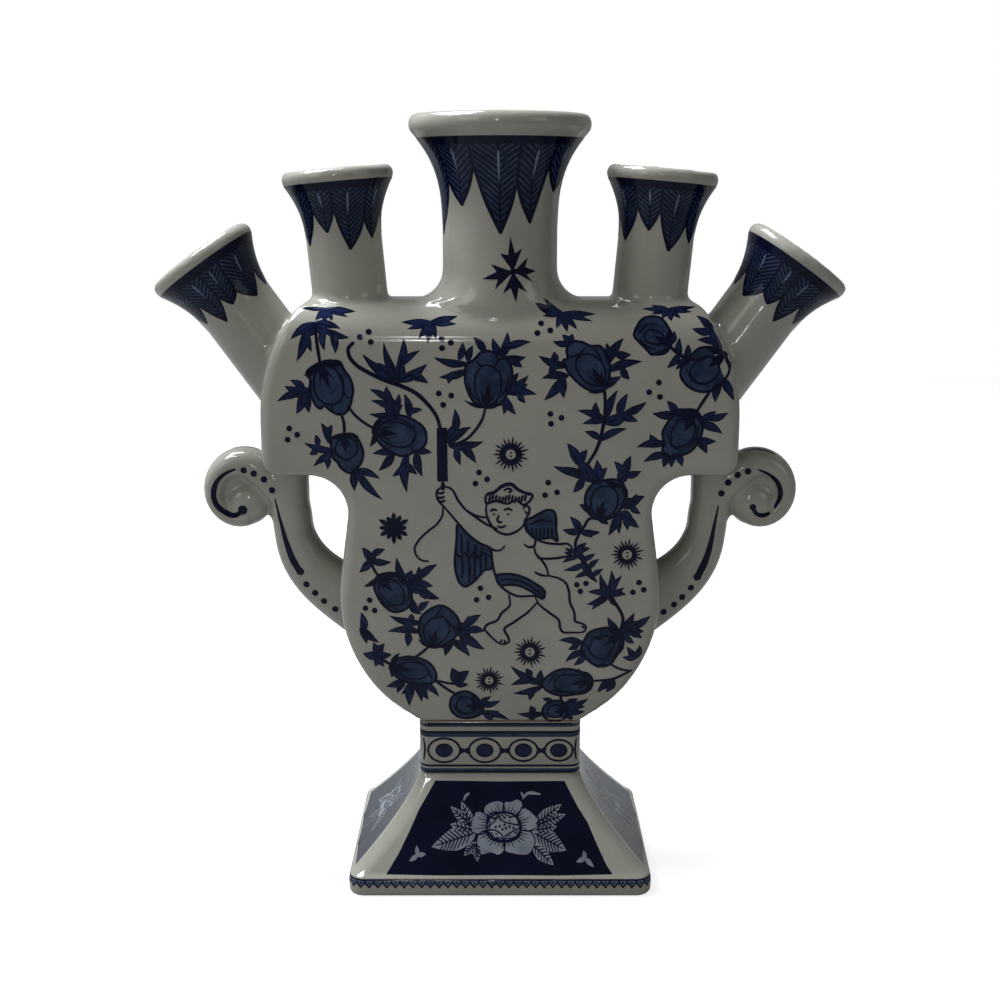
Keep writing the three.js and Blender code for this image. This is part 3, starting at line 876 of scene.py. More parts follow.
@dataclass
class Foot(Assembly):
    """The flared foot with its rolled rim, hollow underneath."""

    width: float = 94.0
    depth: float = 69.8
    height: float = 32.5
    top_width: float = 51.0
    top_depth: float = 31.0
    rim: float = 6.5
    rim_round: float = 2.2
    sole_round: float = 1.4
    roll: float = 2.4
    corner: float = 5.0
    wall: float = 3.6
    side_sweep: float = 1.3
    front_sweep: float = 0.8
    crease_degrees: float = 40.0

    def half_sizes(self, z: float) -> Point:
        """Give half the width and half the depth at a height above the rim.

        Args:
            z: Height in millimetres.

        Returns:
            Half width and half depth in millimetres.
        """
        share = min(max((self.height - z) / (self.height - self.rim), 0.0), 1.0)
        width = blend(self.top_width, self.width - self.rim_round, share**self.side_sweep)
        depth = blend(self.top_depth, self.depth - self.rim_round, share**self.front_sweep)
        return width / 2, depth / 2

    def ring(self, half: Point, z: float, inset: float) -> Ring:
        """Give one plan of the foot at a height."""
        return plan(2 * half[0], 2 * half[1], self.corner, z, inset, 1.0, 9.0)

    def build(self) -> None:
        """Draw the plan up from the rolled rim to the collar, and hollow it."""
        full = (self.width / 2, self.depth / 2)
        turns = [math.pi / 2 * i / 5 for i in range(6)]
        rings = [self.ring(full, self.sole_round * (1 - math.sin(turn)),
                           self.sole_round * (1 - math.sin(math.pi / 2 - turn)))
                 for turn in reversed(turns)]
        start = self.rim - self.roll
        rings.append(self.ring(full, start, 0.0))
        rings += [self.ring(full, start + self.roll * math.sin(turn),
                            self.rim_round / 2 * (1 - math.cos(turn))) for turn in turns[1:]]

        def drawn_up(steps: int, first: int, inset: float) -> list[Ring]:
            """Give plans from the rim to the collar.

            Args:
                steps: How many stretches the height has.
                first: The first step that gets a plan.
                inset: How far each side moves inwards.

            Returns:
                The plans.
            """
            heights = [self.rim + (self.height - self.rim) * i / steps
                       for i in range(first, steps + 1)]
            return [self.ring(self.half_sizes(z), z, inset) for z in heights]

        foot = extruded("vase_foot", rings + drawn_up(20, 1, 0.0))
        top = self.ring(self.half_sizes(self.height), self.height + 4.0, self.wall)
        combine(foot, [extruded("hollow", [
            self.ring(full, -4.0, self.wall), *drawn_up(8, 0, self.wall), top])], "DIFFERENCE")
        finish_shape(foot, self.crease_degrees)
        self.piece = foot


# Painting


def curve_through(points: Iterable[Point], step: float, closed: bool) -> list[Vector]:
    """Draw a soft line through points.

    Args:
        points: The points it passes, in millimetres.
        step: The longest stretch between two points of the result.
        closed: Whether the line comes back to its start.

    Returns:
        Points of the line, without a repeat of the first one.
    """
    spots = [Vector(p) for p in points]
    count = len(spots)
    spans = count if closed else count - 1
    gaps = [max((spots[(i + 1) % count] - spots[i]).length, 0.001) for i in range(spans)]
    slopes = []
    for i in range(count):
        if not closed and i in (0, count - 1):
            first = min(i, count - 2)
            slopes.append((spots[first + 1] - spots[first]) / gaps[first])
            continue
        before, after = gaps[i - 1], gaps[i % spans]
        back = (spots[i] - spots[i - 1]) / before
        ahead = (spots[(i + 1) % count] - spots[i]) / after
        slopes.append((back * after + ahead * before) / (before + after))
    line = []
    for i in range(spans):
        a, b, reach = spots[i], spots[(i + 1) % count], gaps[i]
        leave, arrive = slopes[i] * reach, slopes[(i + 1) % count] * reach
        pieces = max(2, math.ceil(reach / step))
        for k in range(pieces):
            t = k / pieces
            line.append(a * (1 + 2 * t) * (1 - t) ** 2 + leave * t * (1 - t) ** 2
                        + b * t * t * (3 - 2 * t) - arrive * t * t * (1 - t))
    if not closed:
        line.append(spots[-1])
    return line


def area_of(outline: list[Vector]) -> float:
    """Give the signed area of a closed outline; it is positive anticlockwise."""
    return sum(a.cross(b) for a, b in zip(outline, outline[1:] + outline[:1])) / 2


def strip(left: float, right: float, low: float, high: float, steps: int) -> list[Point]:
    """Give the outline of a level strip.

    Args:
        left: Its left end.
        right: Its right end.
        low: Its lower edge.
        high: Its upper edge.
        steps: Into how many stretches its long sides are cut.

    Returns:
        Its points, anticlockwise.
    """
    reach = right - left
    return ([(left + reach * i / steps, low) for i in range(steps + 1)]
            + [(right - reach * i / steps, high) for i in range(steps + 1)])


@dataclass
class Brush:
    """The marks of one colour on one laid-out surface, as closed outlines in millimetres.

    Thinning is the share of a stroke's length over which its end thins. Fullest is the share of
    a blade's length at which it is widest.
    """

    step: float = 0.8
    marks: list[list[Vector]] = field(default_factory=list)
    thinning: float = 0.3
    fullest: float = 0.4

    def add(self, outline: list[Vector]) -> None:
        """Keep one closed outline, run anticlockwise.

        Args:
            outline: Its points.
        """
        if area_of(outline) < 0:
            outline = outline[::-1]
        fine = []
        for a, b in zip(outline, outline[1:] + outline[:1]):
            pieces = max(1, math.ceil((b - a).length / (self.step * 1.25)))
            fine.extend(a.lerp(b, k / pieces) for k in range(pieces))
        self.marks.append(fine)

    def fill(self, points: Iterable[Point], soft: bool = True) -> None:
        """Fill a closed outline, which runs softly through its points or straight."""
        self.add(curve_through(points, self.step, True) if soft else [Vector(p) for p in points])

    def dot(self, centre: Point, radius: float, squeeze: float = 1.0) -> None:
        """Set a round dot, or an oval one.

        Args:
            centre: Its middle.
            radius: Half its width.
            squeeze: Its height as a share of its width.
        """
        count = max(8, math.ceil(math.tau * radius / self.step))
        turns = [math.tau * i / count for i in range(count)]
        self.add([Vector((centre[0] + radius * math.cos(a),
                          centre[1] + radius * squeeze * math.sin(a))) for a in turns])

    def ring(self, centre: Point, inner: float, outer: float, squeeze: float = 1.0) -> None:
        """Draw a ring as two halves that overlap a little.

        Args:
            centre: Its middle.
            inner: Half the width of its hole.
            outer: Half its width.
            squeeze: Its height as a share of its width.
        """
        count = max(6, math.ceil(math.pi * outer / self.step))
        for start in (-0.05, math.pi - 0.05):
            turns = [start + (math.pi + 0.1) * i / count for i in range(count + 1)]
            rows = [(outer, a) for a in turns] + [(inner, a) for a in reversed(turns)]
            self.add([Vector((centre[0] + r * math.cos(a),
                              centre[1] + (r - outer + outer * squeeze) * math.sin(a)))
                      for r, a in rows])

    def stroke(self, points: Iterable[Point], width: float, start: float = 0.6,
               end: float = 0.6, soft: bool = True, swell: float = 0.3) -> None:
        """Draw one stroke of the brush.

        Args:
            points: Points it passes.
            width: Its width where it is widest.
            start: Width at its start as a share of that.
            end: Width at its end as a share of that.
            soft: Whether it runs softly through the points.
            swell: Share of its length over which it grows from its start.
        """
        line = curve_through(points, self.step, False) if soft else [Vector(p) for p in points]
        left, right = [], []
        last = len(line) - 1
        for i, point in enumerate(line):
            way = (line[min(i + 1, last)] - line[max(i - 1, 0)]).normalized()
            side = Vector((-way.y, way.x))
            share = i / last
            press = min(1.0, start + (1 - start) * share / swell,
                        end + (1 - end) * (1 - share) / self.thinning)
            left.append(point + side * width / 2 * press)
            right.append(point - side * width / 2 * press)
        heads = [tip + (tip - near).normalized() * width / 2 * press * 0.85
                 for tip, near, press in ((line[-1], line[-2], end), (line[0], line[1], start))]
        self.add([*left, heads[0], *reversed(right), heads[1]])

    def outline(self, points: Iterable[Point], width: float) -> None:
        """Draw a closed line as two strokes that overlap.

        Args:
            points: Points it passes.
            width: Its width.
        """
        loop = curve_through(points, self.step, True)
        half = len(loop) // 2
        around = loop + loop[:2]
        for part in (around[:half + 2], around[half:]):
            self.stroke(part, width, 1.0, 1.0, soft=False)

    def blade(self, base: Point, tip: Point, width: float, bow: float = 0.0) -> None:
        """Paint one pointed leaf.

        Args:
            base: Where it starts.
            tip: Where it ends.
            width: Its width where it is widest.
            bow: How far it bows to its left, as a share of its length.
        """
        start, end = Vector(base), Vector(tip)
        way = end - start
        side = Vector((-way.y, way.x)) / way.length
        steps = max(5, math.ceil(way.length / self.step))
        left, right = [], []
        for i in range(steps):
            s = i / steps
            spot = start + way * s + side * bow * way.length * 4 * s * (1 - s)
            swell = 0.5 + 0.5 * math.sin(math.pi / 2 * min(s / self.fullest, 1.0))
            past = max((s - self.fullest) / (1 - self.fullest), 0.0)
            half = width / 2 * swell * (1 - past**1.5)
            left.append(spot + side * half)
            right.append(spot - side * half)
        self.add([start - way.normalized() * width * 0.22, *right, end, *reversed(left)])


@dataclass
class Drawing:
    """One drawing laid out flat, with a brush for each coat of paint."""

    line: Brush = field(default_factory=Brush)
    edge: Brush = field(default_factory=Brush)
    petal: Brush = field(default_factory=Brush)
    leaf: Brush = field(default_factory=Brush)
    panel: Brush = field(default_factory=Brush)
    reserve: Brush = field(default_factory=Brush)
    pale_blue: Brush = field(default_factory=Brush)


class Wrap:
    """A way to lay a flat drawing round the vase, turned to one of its faces.

    Where clear is given, rays start that far outside the surface and reach twice as far.
    """

    def __init__(self, face: Face = Face.FRONT) -> None:
        """Note the face that the drawing goes on."""
        self.turn = Matrix.Rotation(math.radians(face.value), 3, "Z")

    def lay(self, u: float, v: float) -> Ray:
        """Give a point over the front face, the way out, and how far the surface may lie."""
        return Vector((u, -60.0, v)), Vector((0, -1, 0)), 90.0

    def ray(self, u: float, v: float) -> Ray:
        """Give the same for the wrap's own face, from a place to the right and upwards."""
        start, out, reach = self.lay(u, v)
        return self.turn @ start, self.turn @ out, reach

    def curved(self, u: float, v: float) -> bool:
        """Tell whether the surface is curved here."""
        return True


class BodyWrap(Wrap):
    """The flat front of the body, running on over the vault of the shoulders."""

    clear = 6.0

    def __init__(self, body: Body) -> None:
        """Note the body, and the heights between which its front is flat.

        Args:
            body: The body that is painted.
        """
        super().__init__()
        self.body = body
        self.flat_low = body.low + body.draw_in
        self.flat_high = body.high - body.vault

    def lay(self, u: float, v: float) -> Ray:
        """Lay a point on the flat front, or round the vault from where that starts.

        Args:
            u: Place to the right.
            v: Height, and from the vault's start the way round it.

        Returns:
            A point outside the surface, the way out and the reach.
        """
        body = self.body
        angle = max(0.0, (v - self.flat_high) / body.vault)
        out = Vector((0, -math.cos(angle), math.sin(angle)))
        drawn_in = (max(0.0, self.flat_low - v) / body.draw_in) ** 1.6
        tuck = (body.depth / 2 - body.end_half) * drawn_in
        spot = Vector((u, body.vault - body.depth / 2 + tuck, min(v, self.flat_high)))
        return spot + out * body.vault + out * self.clear, out, 2 * self.clear

    def curved(self, u: float, v: float) -> bool:
        """Tell whether a point is on the vault or on the draw-in at the foot."""
        return v > self.flat_high - 1.5 or v < self.flat_low + 3.0


class TopWrap(Wrap):
    """What is seen from above: u goes to the right and v to the back."""

    def lay(self, u: float, v: float) -> Ray:
        """Lay a point on the top of a handle."""
        return Vector((u, v, 145.0)), Vector((0, 0, 1)), 30.0


class TrumpetWrap(Wrap):
    """The outside of a spout: u goes round it and v up along its axis."""

    clear = 1.6

    def __init__(self, trumpet: Trumpet) -> None:
        """Note the spout."""
        super().__init__()
        self.trumpet = trumpet

    def lay(self, u: float, v: float) -> Ray:
        """Lay a point on the spout's wall.

        Args:
            u: Way round the neck.
            v: Height on the axis.

        Returns:
            A point outside the surface, the way out and the reach.
        """
        shape = self.trumpet
        angle = u / shape.neck
        slope = (shape.radius_at(v + 0.2) - shape.radius_at(v - 0.2)) / 0.4
        out = Vector((math.sin(angle), -math.cos(angle), -slope)).normalized()
        radius = shape.radius_at(v)
        spot = Vector((radius * math.sin(angle), -radius * math.cos(angle), v))
        lean = Matrix.Rotation(math.radians(shape.lean_degrees), 3, "Y")
        base = Vector((shape.base[0], 0.0, shape.base[1]))
        return base + lean @ (spot + out * self.clear), lean @ out, 2 * self.clear


class RimWrap(Wrap):
    """The upright rim of the foot: u goes all round it and v upwards."""

    clear = 2.0

    def __init__(self, foot: Foot) -> None:
        """Note the plan of the rim and its length all round.

        Args:
            foot: The foot that is painted.
        """
        super().__init__()
        self.plan = foot.ring((foot.width / 2, foot.depth / 2), 0.0, 0.0)
        self.lengths = [(b - a).length for a, b in zip(self.plan, self.plan[1:] + self.plan[:1])]
        self.around = sum(self.lengths)

    def lay(self, u: float, v: float) -> Ray:
        """Lay a point on the rim.

        Args:
            u: Way round the rim.
            v: Height.

        Returns:
            A point outside the surface, the way out and the reach.
        """
        left = u % self.around
        i = 0
        while left > self.lengths[i]:
            left -= self.lengths[i]
            i += 1
        a, b = self.plan[i], self.plan[(i + 1) % len(self.plan)]
        spot = a.lerp(b, left / self.lengths[i])
        out = Vector((b.y - a.y, a.x - b.x, 0.0)).normalized()
        return Vector((spot.x, spot.y, v)) + out * self.clear, out, 2 * self.clear


def split_pinches(triangles: list[tuple[int, ...]]) -> tuple[list[int], list[list[int]]]:
    """Part shapes that touch in a single point, so that the film closes well.

    Args:
        triangles: Corners of each triangle.

    Returns:
        For each new point the old one, and the triangles with new corners.
    """
    around: dict[int, list[int]] = {}
    for i, triangle in enumerate(triangles):
        for corner in triangle:
            around.setdefault(corner, []).append(i)
    source: list[int] = []
    renamed = [list(t) for t in triangles]
    for corner, members in around.items():
        left = set(members)
        while left:
            group, queue = set(), [left.pop()]
            while queue:
                here = queue.pop()
                group.add(here)
                others = set(triangles[here]) - {corner}
                for near in [m for m in left if others & set(triangles[m])]:
                    left.discard(near)
                    queue.append(near)
            for member in group:
                renamed[member][triangles[member].index(corner)] = len(source)
            source.append(corner)
    return source, renamed


@dataclass
class Film:
    """One coat of a drawing, laid as a thin closed skin on a finished piece."""

    name: str
    brush: Brush
    wrap: Wrap
    tree: BVHTree
    proud: float
    grid: float = 1.6
    sunk: float = 0.16
    crease_degrees: float = 40.0
    piece: Piece = field(init=False)

    def flat(self) -> tuple[list[Vector], list[list[int]]]:
        """Join all marks into one sheet of triangles.

        Returns:
            Flat points in millimetres, and triangles.
        """
        points: list[Vector] = []
        faces = []
        for mark in self.brush.marks:
            faces.append(list(range(len(points), len(points) + len(mark))))
            points.extend(mark)
        low_u, high_u = min(p.x for p in points), max(p.x for p in points)
        low_v, high_v = min(p.y for p in points), max(p.y for p in points)
        for i in range(int((high_u - low_u) / self.grid)):
            for k in range(int((high_v - low_v) / self.grid)):
                spot = Vector((low_u + (i + 0.5 + k % 2 / 2) * self.grid,
                               low_v + (k + 0.5) * self.grid))
                if self.wrap.curved(spot.x, spot.y):
                    points.append(spot)
        joined = delaunay_2d_cdt(points, [], faces, 1, 0.02)
        triangles = [f for f, origin in zip(joined[2], joined[5]) if origin]
        source, renamed = split_pinches(triangles)
        return [joined[0][i] for i in source], renamed

    def build(self) -> None:
        """Lay the sheet on the piece and give it its thickness."""
        points, triangles = self.flat()
        let_go()
        bpy.ops.mesh.primitive_plane_add(size=0.01)
        self.piece = bpy.context.object
        self.piece.name = self.name
        bpy.ops.object.mode_set(mode="EDIT")
        work = bmesh.from_edit_mesh(self.piece.data)
        work.clear()
        corners = []
        for point in points:
            start, out, reach = self.wrap.ray(point.x, point.y)
            hit = self.tree.ray_cast(start * MM, -out, reach * MM)[0]
            on = hit if hit is not None else (start - out * reach / 2) * MM
            corners.append(work.verts.new(on + out * self.proud * MM))
        for triangle in triangles:
            work.faces.new([corners[i] for i in triangle])
        work.normal_update()
        bmesh.update_edit_mesh(self.piece.data)
        take(self.piece)
        skin = self.piece.modifiers.new("skin", "SOLIDIFY")
        skin.thickness = self.sunk * MM
        skin.offset = -1.0
        bpy.ops.object.modifier_apply(modifier=skin.name)
        finish_shape(self.piece, self.crease_degrees)

    def turned_copy(self, name: str) -> None:
        """Copy the film to the other side of the vase.

        Args:
            name: Name of the copy.
        """
        twin = self.piece.copy()
        twin.data = self.piece.data.copy()
        twin.name = name
        bpy.context.scene.collection.objects.link(twin)
        twin.data.transform(Matrix.Rotation(math.pi, 4, "Z"))


@dataclass(frozen=True)
class Bud:
    """A tulip bud with its dark outline, its inner petal, its wedge of shade and its calyx."""

    outline: Points
    wedge: tuple[Point, Point]
    heart: Point
    inner: Points = ()
    calyx: tuple[Blade, ...] = ()
    folds: tuple[Points, ...] = ()

    rim_width = 0.75
    fold_width = 0.58
    wedge_width = 2.1
    wedge_swing = 0.42

    def paint(self, drawing: Drawing) -> None:
        """Paint the bud.

        Args:
            drawing: The drawing that it is part of.
        """
        line = drawing.line
        drawing.petal.fill(self.outline)
        line.outline(self.outline, self.rim_width)
        heart = Vector(self.heart)
        inner = self.inner or tuple(tuple(heart + (Vector(p) - heart) * 0.6) for p in self.outline)
        line.outline(inner, self.fold_width)
        line.blade(*self.wedge, self.wedge_width)
        reach = Vector(self.wedge[1]) - Vector(self.wedge[0])
        for swing in (-self.wedge_swing, self.wedge_swing):
            aside = reach.copy()
            aside.rotate(Matrix.Rotation(swing, 2))
            line.blade(self.wedge[0], tuple(Vector(self.wedge[0]) + aside * 0.8), 0.8)
        for x, z, tip_x, tip_z, width in self.calyx:
            line.blade((x, z), (tip_x, tip_z), width, 0.08)
        for fold in self.folds:
            line.stroke(fold, self.fold_width, 0.6, 0.3)


BUDS = (
    Bud(((-57.3, 160.5), (-54.5, 163.3), (-50, 164.5), (-47, 163.8), (-46.5, 162.5),
         (-44.3, 159), (-43.6, 155.5), (-44, 153.3), (-44.8, 150.5), (-46.5, 148.6),
         (-48, 148.4), (-50.5, 149.6), (-52.5, 151), (-53.2, 150.2), (-54, 150.4),
         (-55.5, 152.5), (-56.5, 156), (-56.3, 159)),
        ((-53, 163), (-50.6, 156.4)), (-51, 157),
        ((-53, 162.6), (-54.8, 160), (-55.2, 156.5), (-53.8, 153), (-51.5, 151.5), (-50, 151.4),
         (-48, 152), (-46.7, 154.2), (-47, 158.5), (-49, 162)),
        ((-52.5, 163.6, -58.2, 160, 2.2), (-53, 163.4, -46.2, 163, 2.4)),
        (((-49.5, 163), (-46.5, 158.5), (-46.3, 155), (-45.5, 153.6), (-44, 153.3)),
         ((-50, 151.3), (-49.8, 149.8)))),
    Bud(((-50.3, 141.2), (-48, 142.3), (-45, 142.4), (-42.8, 141.3), (-41.5, 139), (-41, 136),
         (-42, 133.2), (-43.5, 131.6), (-44.5, 130.6), (-46.5, 131.2), (-48, 132.5),
         (-48.8, 134), (-50, 135), (-50.5, 138)),
        ((-46.5, 142), (-46.3, 137.2)), (-46, 137.5),
        ((-46.3, 141.6), (-48.8, 139.8), (-49.2, 137), (-47.5, 135.2), (-46, 134.6),
         (-44.5, 135.3), (-43, 136.8), (-43, 140)),
        ((-46.5, 142.4, -50.8, 141.2, 1.3), (-46.5, 142.4, -42, 141.5, 1.3))),
    Bud(((-38, 143.5), (-36.5, 146.5), (-33.5, 148), (-29, 148), (-25, 146.3), (-22.5, 144),
         (-22, 141.8), (-22.3, 139.5), (-23.5, 138), (-25.5, 137.2), (-28.5, 135.8),
         (-32, 136.6), (-35, 138.6), (-37, 141)),
        ((-37.5, 143.3), (-30.6, 142.5)), (-30, 142),
        ((-36.5, 143.8), (-35.4, 145.4), (-32, 146.2), (-28, 145.3), (-25.3, 143), (-26, 140),
         (-29, 138.5), (-33, 139.3), (-36, 141.8)),
        ((-37, 143, -39, 138.6, 1.9), (-37.4, 143, -34.5, 147.6, 1.3)),
        (((-25, 143), (-26.5, 139), (-26, 136.5)), ((-36, 146), (-30, 147), (-25.5, 144.5)))),
    Bud(((-4.3, 150.5), (-7.5, 152), (-9.8, 156), (-10.4, 160.5), (-9.8, 163.5), (-7.8, 164.7),
         (-7, 165.5), (-5.5, 167), (-3.5, 167.4), (-1.5, 166.5), (-0.3, 165), (1.5, 165.2),
         (3.2, 163), (3.6, 159.5), (2.5, 155.5), (0.3, 152), (-2, 150.6)),
        ((-4.3, 150.5), (-3.3, 157.8)), (-3.3, 157),
        ((-4.3, 150.5), (-6.8, 154), (-7.5, 158), (-6.5, 161.5), (-4.8, 163), (-3.4, 163.1),
         (-2, 162.4), (-0.3, 161), (0.4, 158), (-0.3, 154), (-2.2, 151.2)),
        ((-4, 150.7, -10.8, 152.8, 1.3), (-4, 150.7, 1.4, 151.2, 1.3)),
        (((-7, 164.5), (-5.8, 163), (-4.8, 163)), ((-1.8, 162.4), (-0.8, 164), (0, 165)),
         ((-9.4, 158), (-8.6, 155), (-6.4, 152.4)), ((2.6, 160), (1.9, 156.5), (0, 153.4)))),
    Bud(((31, 155.8), (26, 156), (22.5, 158.5), (19.7, 162), (18.7, 164.7), (19.8, 165),
         (19.6, 167.5), (20.5, 169.8), (24, 170), (27, 168.8), (29.2, 168.9), (31.5, 166.3),
         (32.5, 163), (32.3, 159.5), (31.5, 157)),
        ((30.4, 156.8), (27.2, 162.4)), (26.9, 161.6),
        ((30.2, 157.2), (26.5, 157.6), (23.4, 160.4), (22.4, 163.8), (23.8, 166.2), (27, 166.2),
         (30, 164), (31.2, 160.4)),
        ((31, 156, 26, 155.2, 1.3), (31.2, 156, 33.2, 160, 1.2)),
        (((20.2, 165.4), (22.8, 166.2), (25.6, 168.6)), ((27, 168.6), (29, 166.4), (30.6, 163)))),
    Bud(((39.5, 171.7), (40.3, 174.5), (42, 177), (44.5, 178), (47.5, 177.3), (49.3, 174.8),
         (50.7, 171.5), (50.5, 169.5), (49, 167.8), (46, 166.6), (45.3, 166.2), (43, 168),
         (41, 170)),
        ((49.8, 169), (45.6, 171.8)), (45, 171.5),
        ((42.5, 171.5), (43.5, 173.3), (46, 173.3), (48, 172), (48.5, 170), (47, 169),
         (45, 169.5), (43.6, 169.8)),
        ((50.4, 169, 49.8, 174.2, 1.8), (50.2, 168.6, 45.4, 166, 1.8)),
        (((41, 172.5), (43, 175), (46.5, 175.4)), ((41.4, 170.6), (43, 168.8), (45.6, 168)))),
    Bud(((53.4, 160.3), (54, 163), (56, 165.5), (58.5, 168), (62, 168.5), (65, 167.5),
         (67.3, 164.5), (68, 161.8), (66.5, 158.8), (64, 156.3), (61, 155.2), (57.5, 155.8),
         (55, 157.5)),
        ((66.4, 166.2), (61.4, 162.4)), (60.5, 161.5), (),
        ((66, 167, 60.5, 168.8, 2), (66.4, 166.8, 68.2, 161.4, 2)),
        (((55, 162), (57.4, 158.4), (62, 157)), ((57, 165), (59.6, 164.6), (62, 166.6)))),
    Bud(((52, 149.5), (55, 149.9), (58.5, 149.5), (60, 147.5), (60.5, 146.5), (60.3, 143),
         (59, 139.5), (57, 137.2), (54, 136), (51, 135.6), (49, 136.8), (48.8, 141),
         (48.5, 142.5), (50, 146), (51, 147.5)),
        ((58, 148.6), (55, 143.2)), (55, 143), (),
        ((57.6, 149.2, 51, 148.8, 2), (58, 149.2, 60.8, 144.4, 1.8)),
        (((50, 143), (51.4, 139), (54.5, 137.4)), ((59.2, 145), (58.4, 141), (56.4, 138.4)))),
    Bud(((30, 116.2), (27, 118), (25.7, 121), (26, 124.5), (28, 127.3), (31, 128.3), (34, 128.7),
         (36.5, 128), (37.8, 125), (37.5, 121.5), (35.5, 118.3), (33, 116.5)),
        ((30, 116.6), (31.2, 122)), (31.5, 121.5),
        ((31.5, 116.8), (28.2, 118.6), (27.4, 122), (29, 125.6), (32, 126.6), (35, 125),
         (35.6, 121.5), (34.2, 118.4)),
        ((36.6, 126.6, 31, 128.8, 1.8), (36.8, 127, 38, 121.6, 1.8), (29.6, 116.4, 34.6, 116.6, 1.1))),
    Bud(((25, 75), (26, 78), (27.5, 80.5), (31, 81.8), (34, 82), (36.5, 81), (38, 78.5), (38, 76),
         (36, 73), (34, 70.2), (31, 69.5), (28.5, 70.5), (26.5, 72.3)),
        ((37.4, 79.6), (32.4, 76.6)), (31, 75.5), (),
        ((37.8, 80, 32.4, 82.6, 1.9), (38, 79.4, 35, 72.4, 1.9), (30, 69.4, 34, 69.8, 1.2)),
        (((26.4, 77), (28.4, 73.4), (32, 71.6)), ((28, 79.6), (30.4, 78.4), (33, 80.2)))),
    Bud(((13, 64), (15, 66.5), (18, 68.3), (21.5, 68.7), (25, 67.8), (27.5, 67), (28.8, 65),
         (28.3, 62.5), (26.5, 60.8), (23, 60), (19.5, 59.6), (16, 60.5), (14, 62)),
        ((28, 64.4), (22, 63.8)), (21, 64),
        ((16.8, 63), (18, 66), (22, 66.8), (27, 66), (27, 62), (22, 60.8), (18.5, 61.5)),
        ((28.6, 65.4, 24, 69, 1.8), (28.6, 64.6, 26, 60, 1.6)),
        (((14.8, 63.8), (16.6, 66), (17.6, 67.4)), ((15.6, 61.6), (17.6, 61.2), (19.4, 60.6)))),
    Bud(((21.3, 54.6), (20.4, 56.8), (18.2, 57.8), (15.4, 57.2), (13.6, 55.2), (13.4, 52.6),
         (15, 50.6), (17.6, 50), (20, 50.8), (21.2, 52.6)),
        ((21.2, 54.2), (17, 53.6)), (17.3, 53.8), (), ((21.4, 54.6, 19, 58.2, 1.3),)),
    Bud(((-38.5, 95.5), (-37.5, 98.5), (-35, 99.4), (-31.5, 99.3), (-29, 97), (-27.5, 94.5),
         (-27, 92), (-28, 88.8), (-30, 87.5), (-33, 87.2), (-35.5, 89), (-37.5, 92)),
        ((-37, 98), (-32.8, 93.8)), (-33, 93.5),
        ((-36.8, 96.8), (-34, 97.6), (-31, 96.2), (-29.4, 93), (-29.8, 90), (-32.2, 89.2),
         (-35, 91), (-37, 94)),
        ((-37, 98, -41.8, 95.2, 1.8), (-36.6, 98.4, -30.5, 98.4, 2)),
        (((-28.4, 95), (-27.8, 92), (-28.8, 90)), ((-37.4, 92.6), (-34.8, 89.4), (-31.6, 88)))),
    Bud(((-21.5, 75.8), (-24, 78), (-25, 81.5), (-24.5, 85), (-22.5, 87.3), (-21, 88.3),
         (-18, 89.2), (-15.5, 88), (-13.5, 86), (-12.5, 84), (-12.2, 82), (-13.5, 79.5),
         (-16, 77.3), (-18.5, 76)),
        ((-21.2, 76), (-19.6, 81.4)), (-19.5, 81),
        ((-21, 76.5), (-23.4, 79.5), (-23.5, 82), (-22, 84), (-19.5, 85.5), (-17.8, 85.7),
         (-16, 83.5), (-15.5, 81.5), (-17, 78.5)),
        ((-21.5, 76, -16.5, 75.3, 1.1), (-21.6, 76, -25.4, 78.6, 1.1)),
        (((-20, 85.4), (-18.6, 87.4), (-18, 89)), ((-16.2, 84.6), (-14.4, 82.4), (-13, 81.6)))),
    Bud(((-34.2, 69.5), (-32.5, 71.5), (-29, 72.7), (-25.5, 72.3), (-22.3, 71), (-20.3, 68.5),
         (-19.7, 66.3), (-20.5, 64.5), (-23, 63.7), (-26.5, 63.8), (-30, 64.8), (-32.5, 66.5)),
        ((-33.6, 69.2), (-27.6, 68.4)), (-28, 68.3),
        ((-33, 68.5), (-30, 70.7), (-26.5, 70.8), (-23, 69.5), (-22, 67.5), (-24, 65.8),
         (-28, 65.5), (-31, 66.8)),
        ((-33.4, 69.4, -31, 74, 2), (-33.8, 69.5, -33.6, 65.8, 1.6)),
        (((-31, 71.6), (-27, 71.8), (-23.6, 70.4)), ((-22, 67.4), (-21.2, 66), (-21.2, 64.8)))),
    Bud(((-15.7, 56.5), (-15, 59), (-13, 60.8), (-10.5, 61.2), (-8.5, 60.3), (-6.5, 58),
         (-5.3, 55.8), (-5.8, 53), (-8, 51.7), (-11, 51.2), (-13.5, 52), (-15.2, 54)),
        ((-6, 55), (-10.8, 56)), (-10.5, 56), (), ((-6, 55.4, -9, 60.8, 1.5),),
        (((-14.6, 56.6), (-13, 53.6), (-10, 52.4)),)),
)

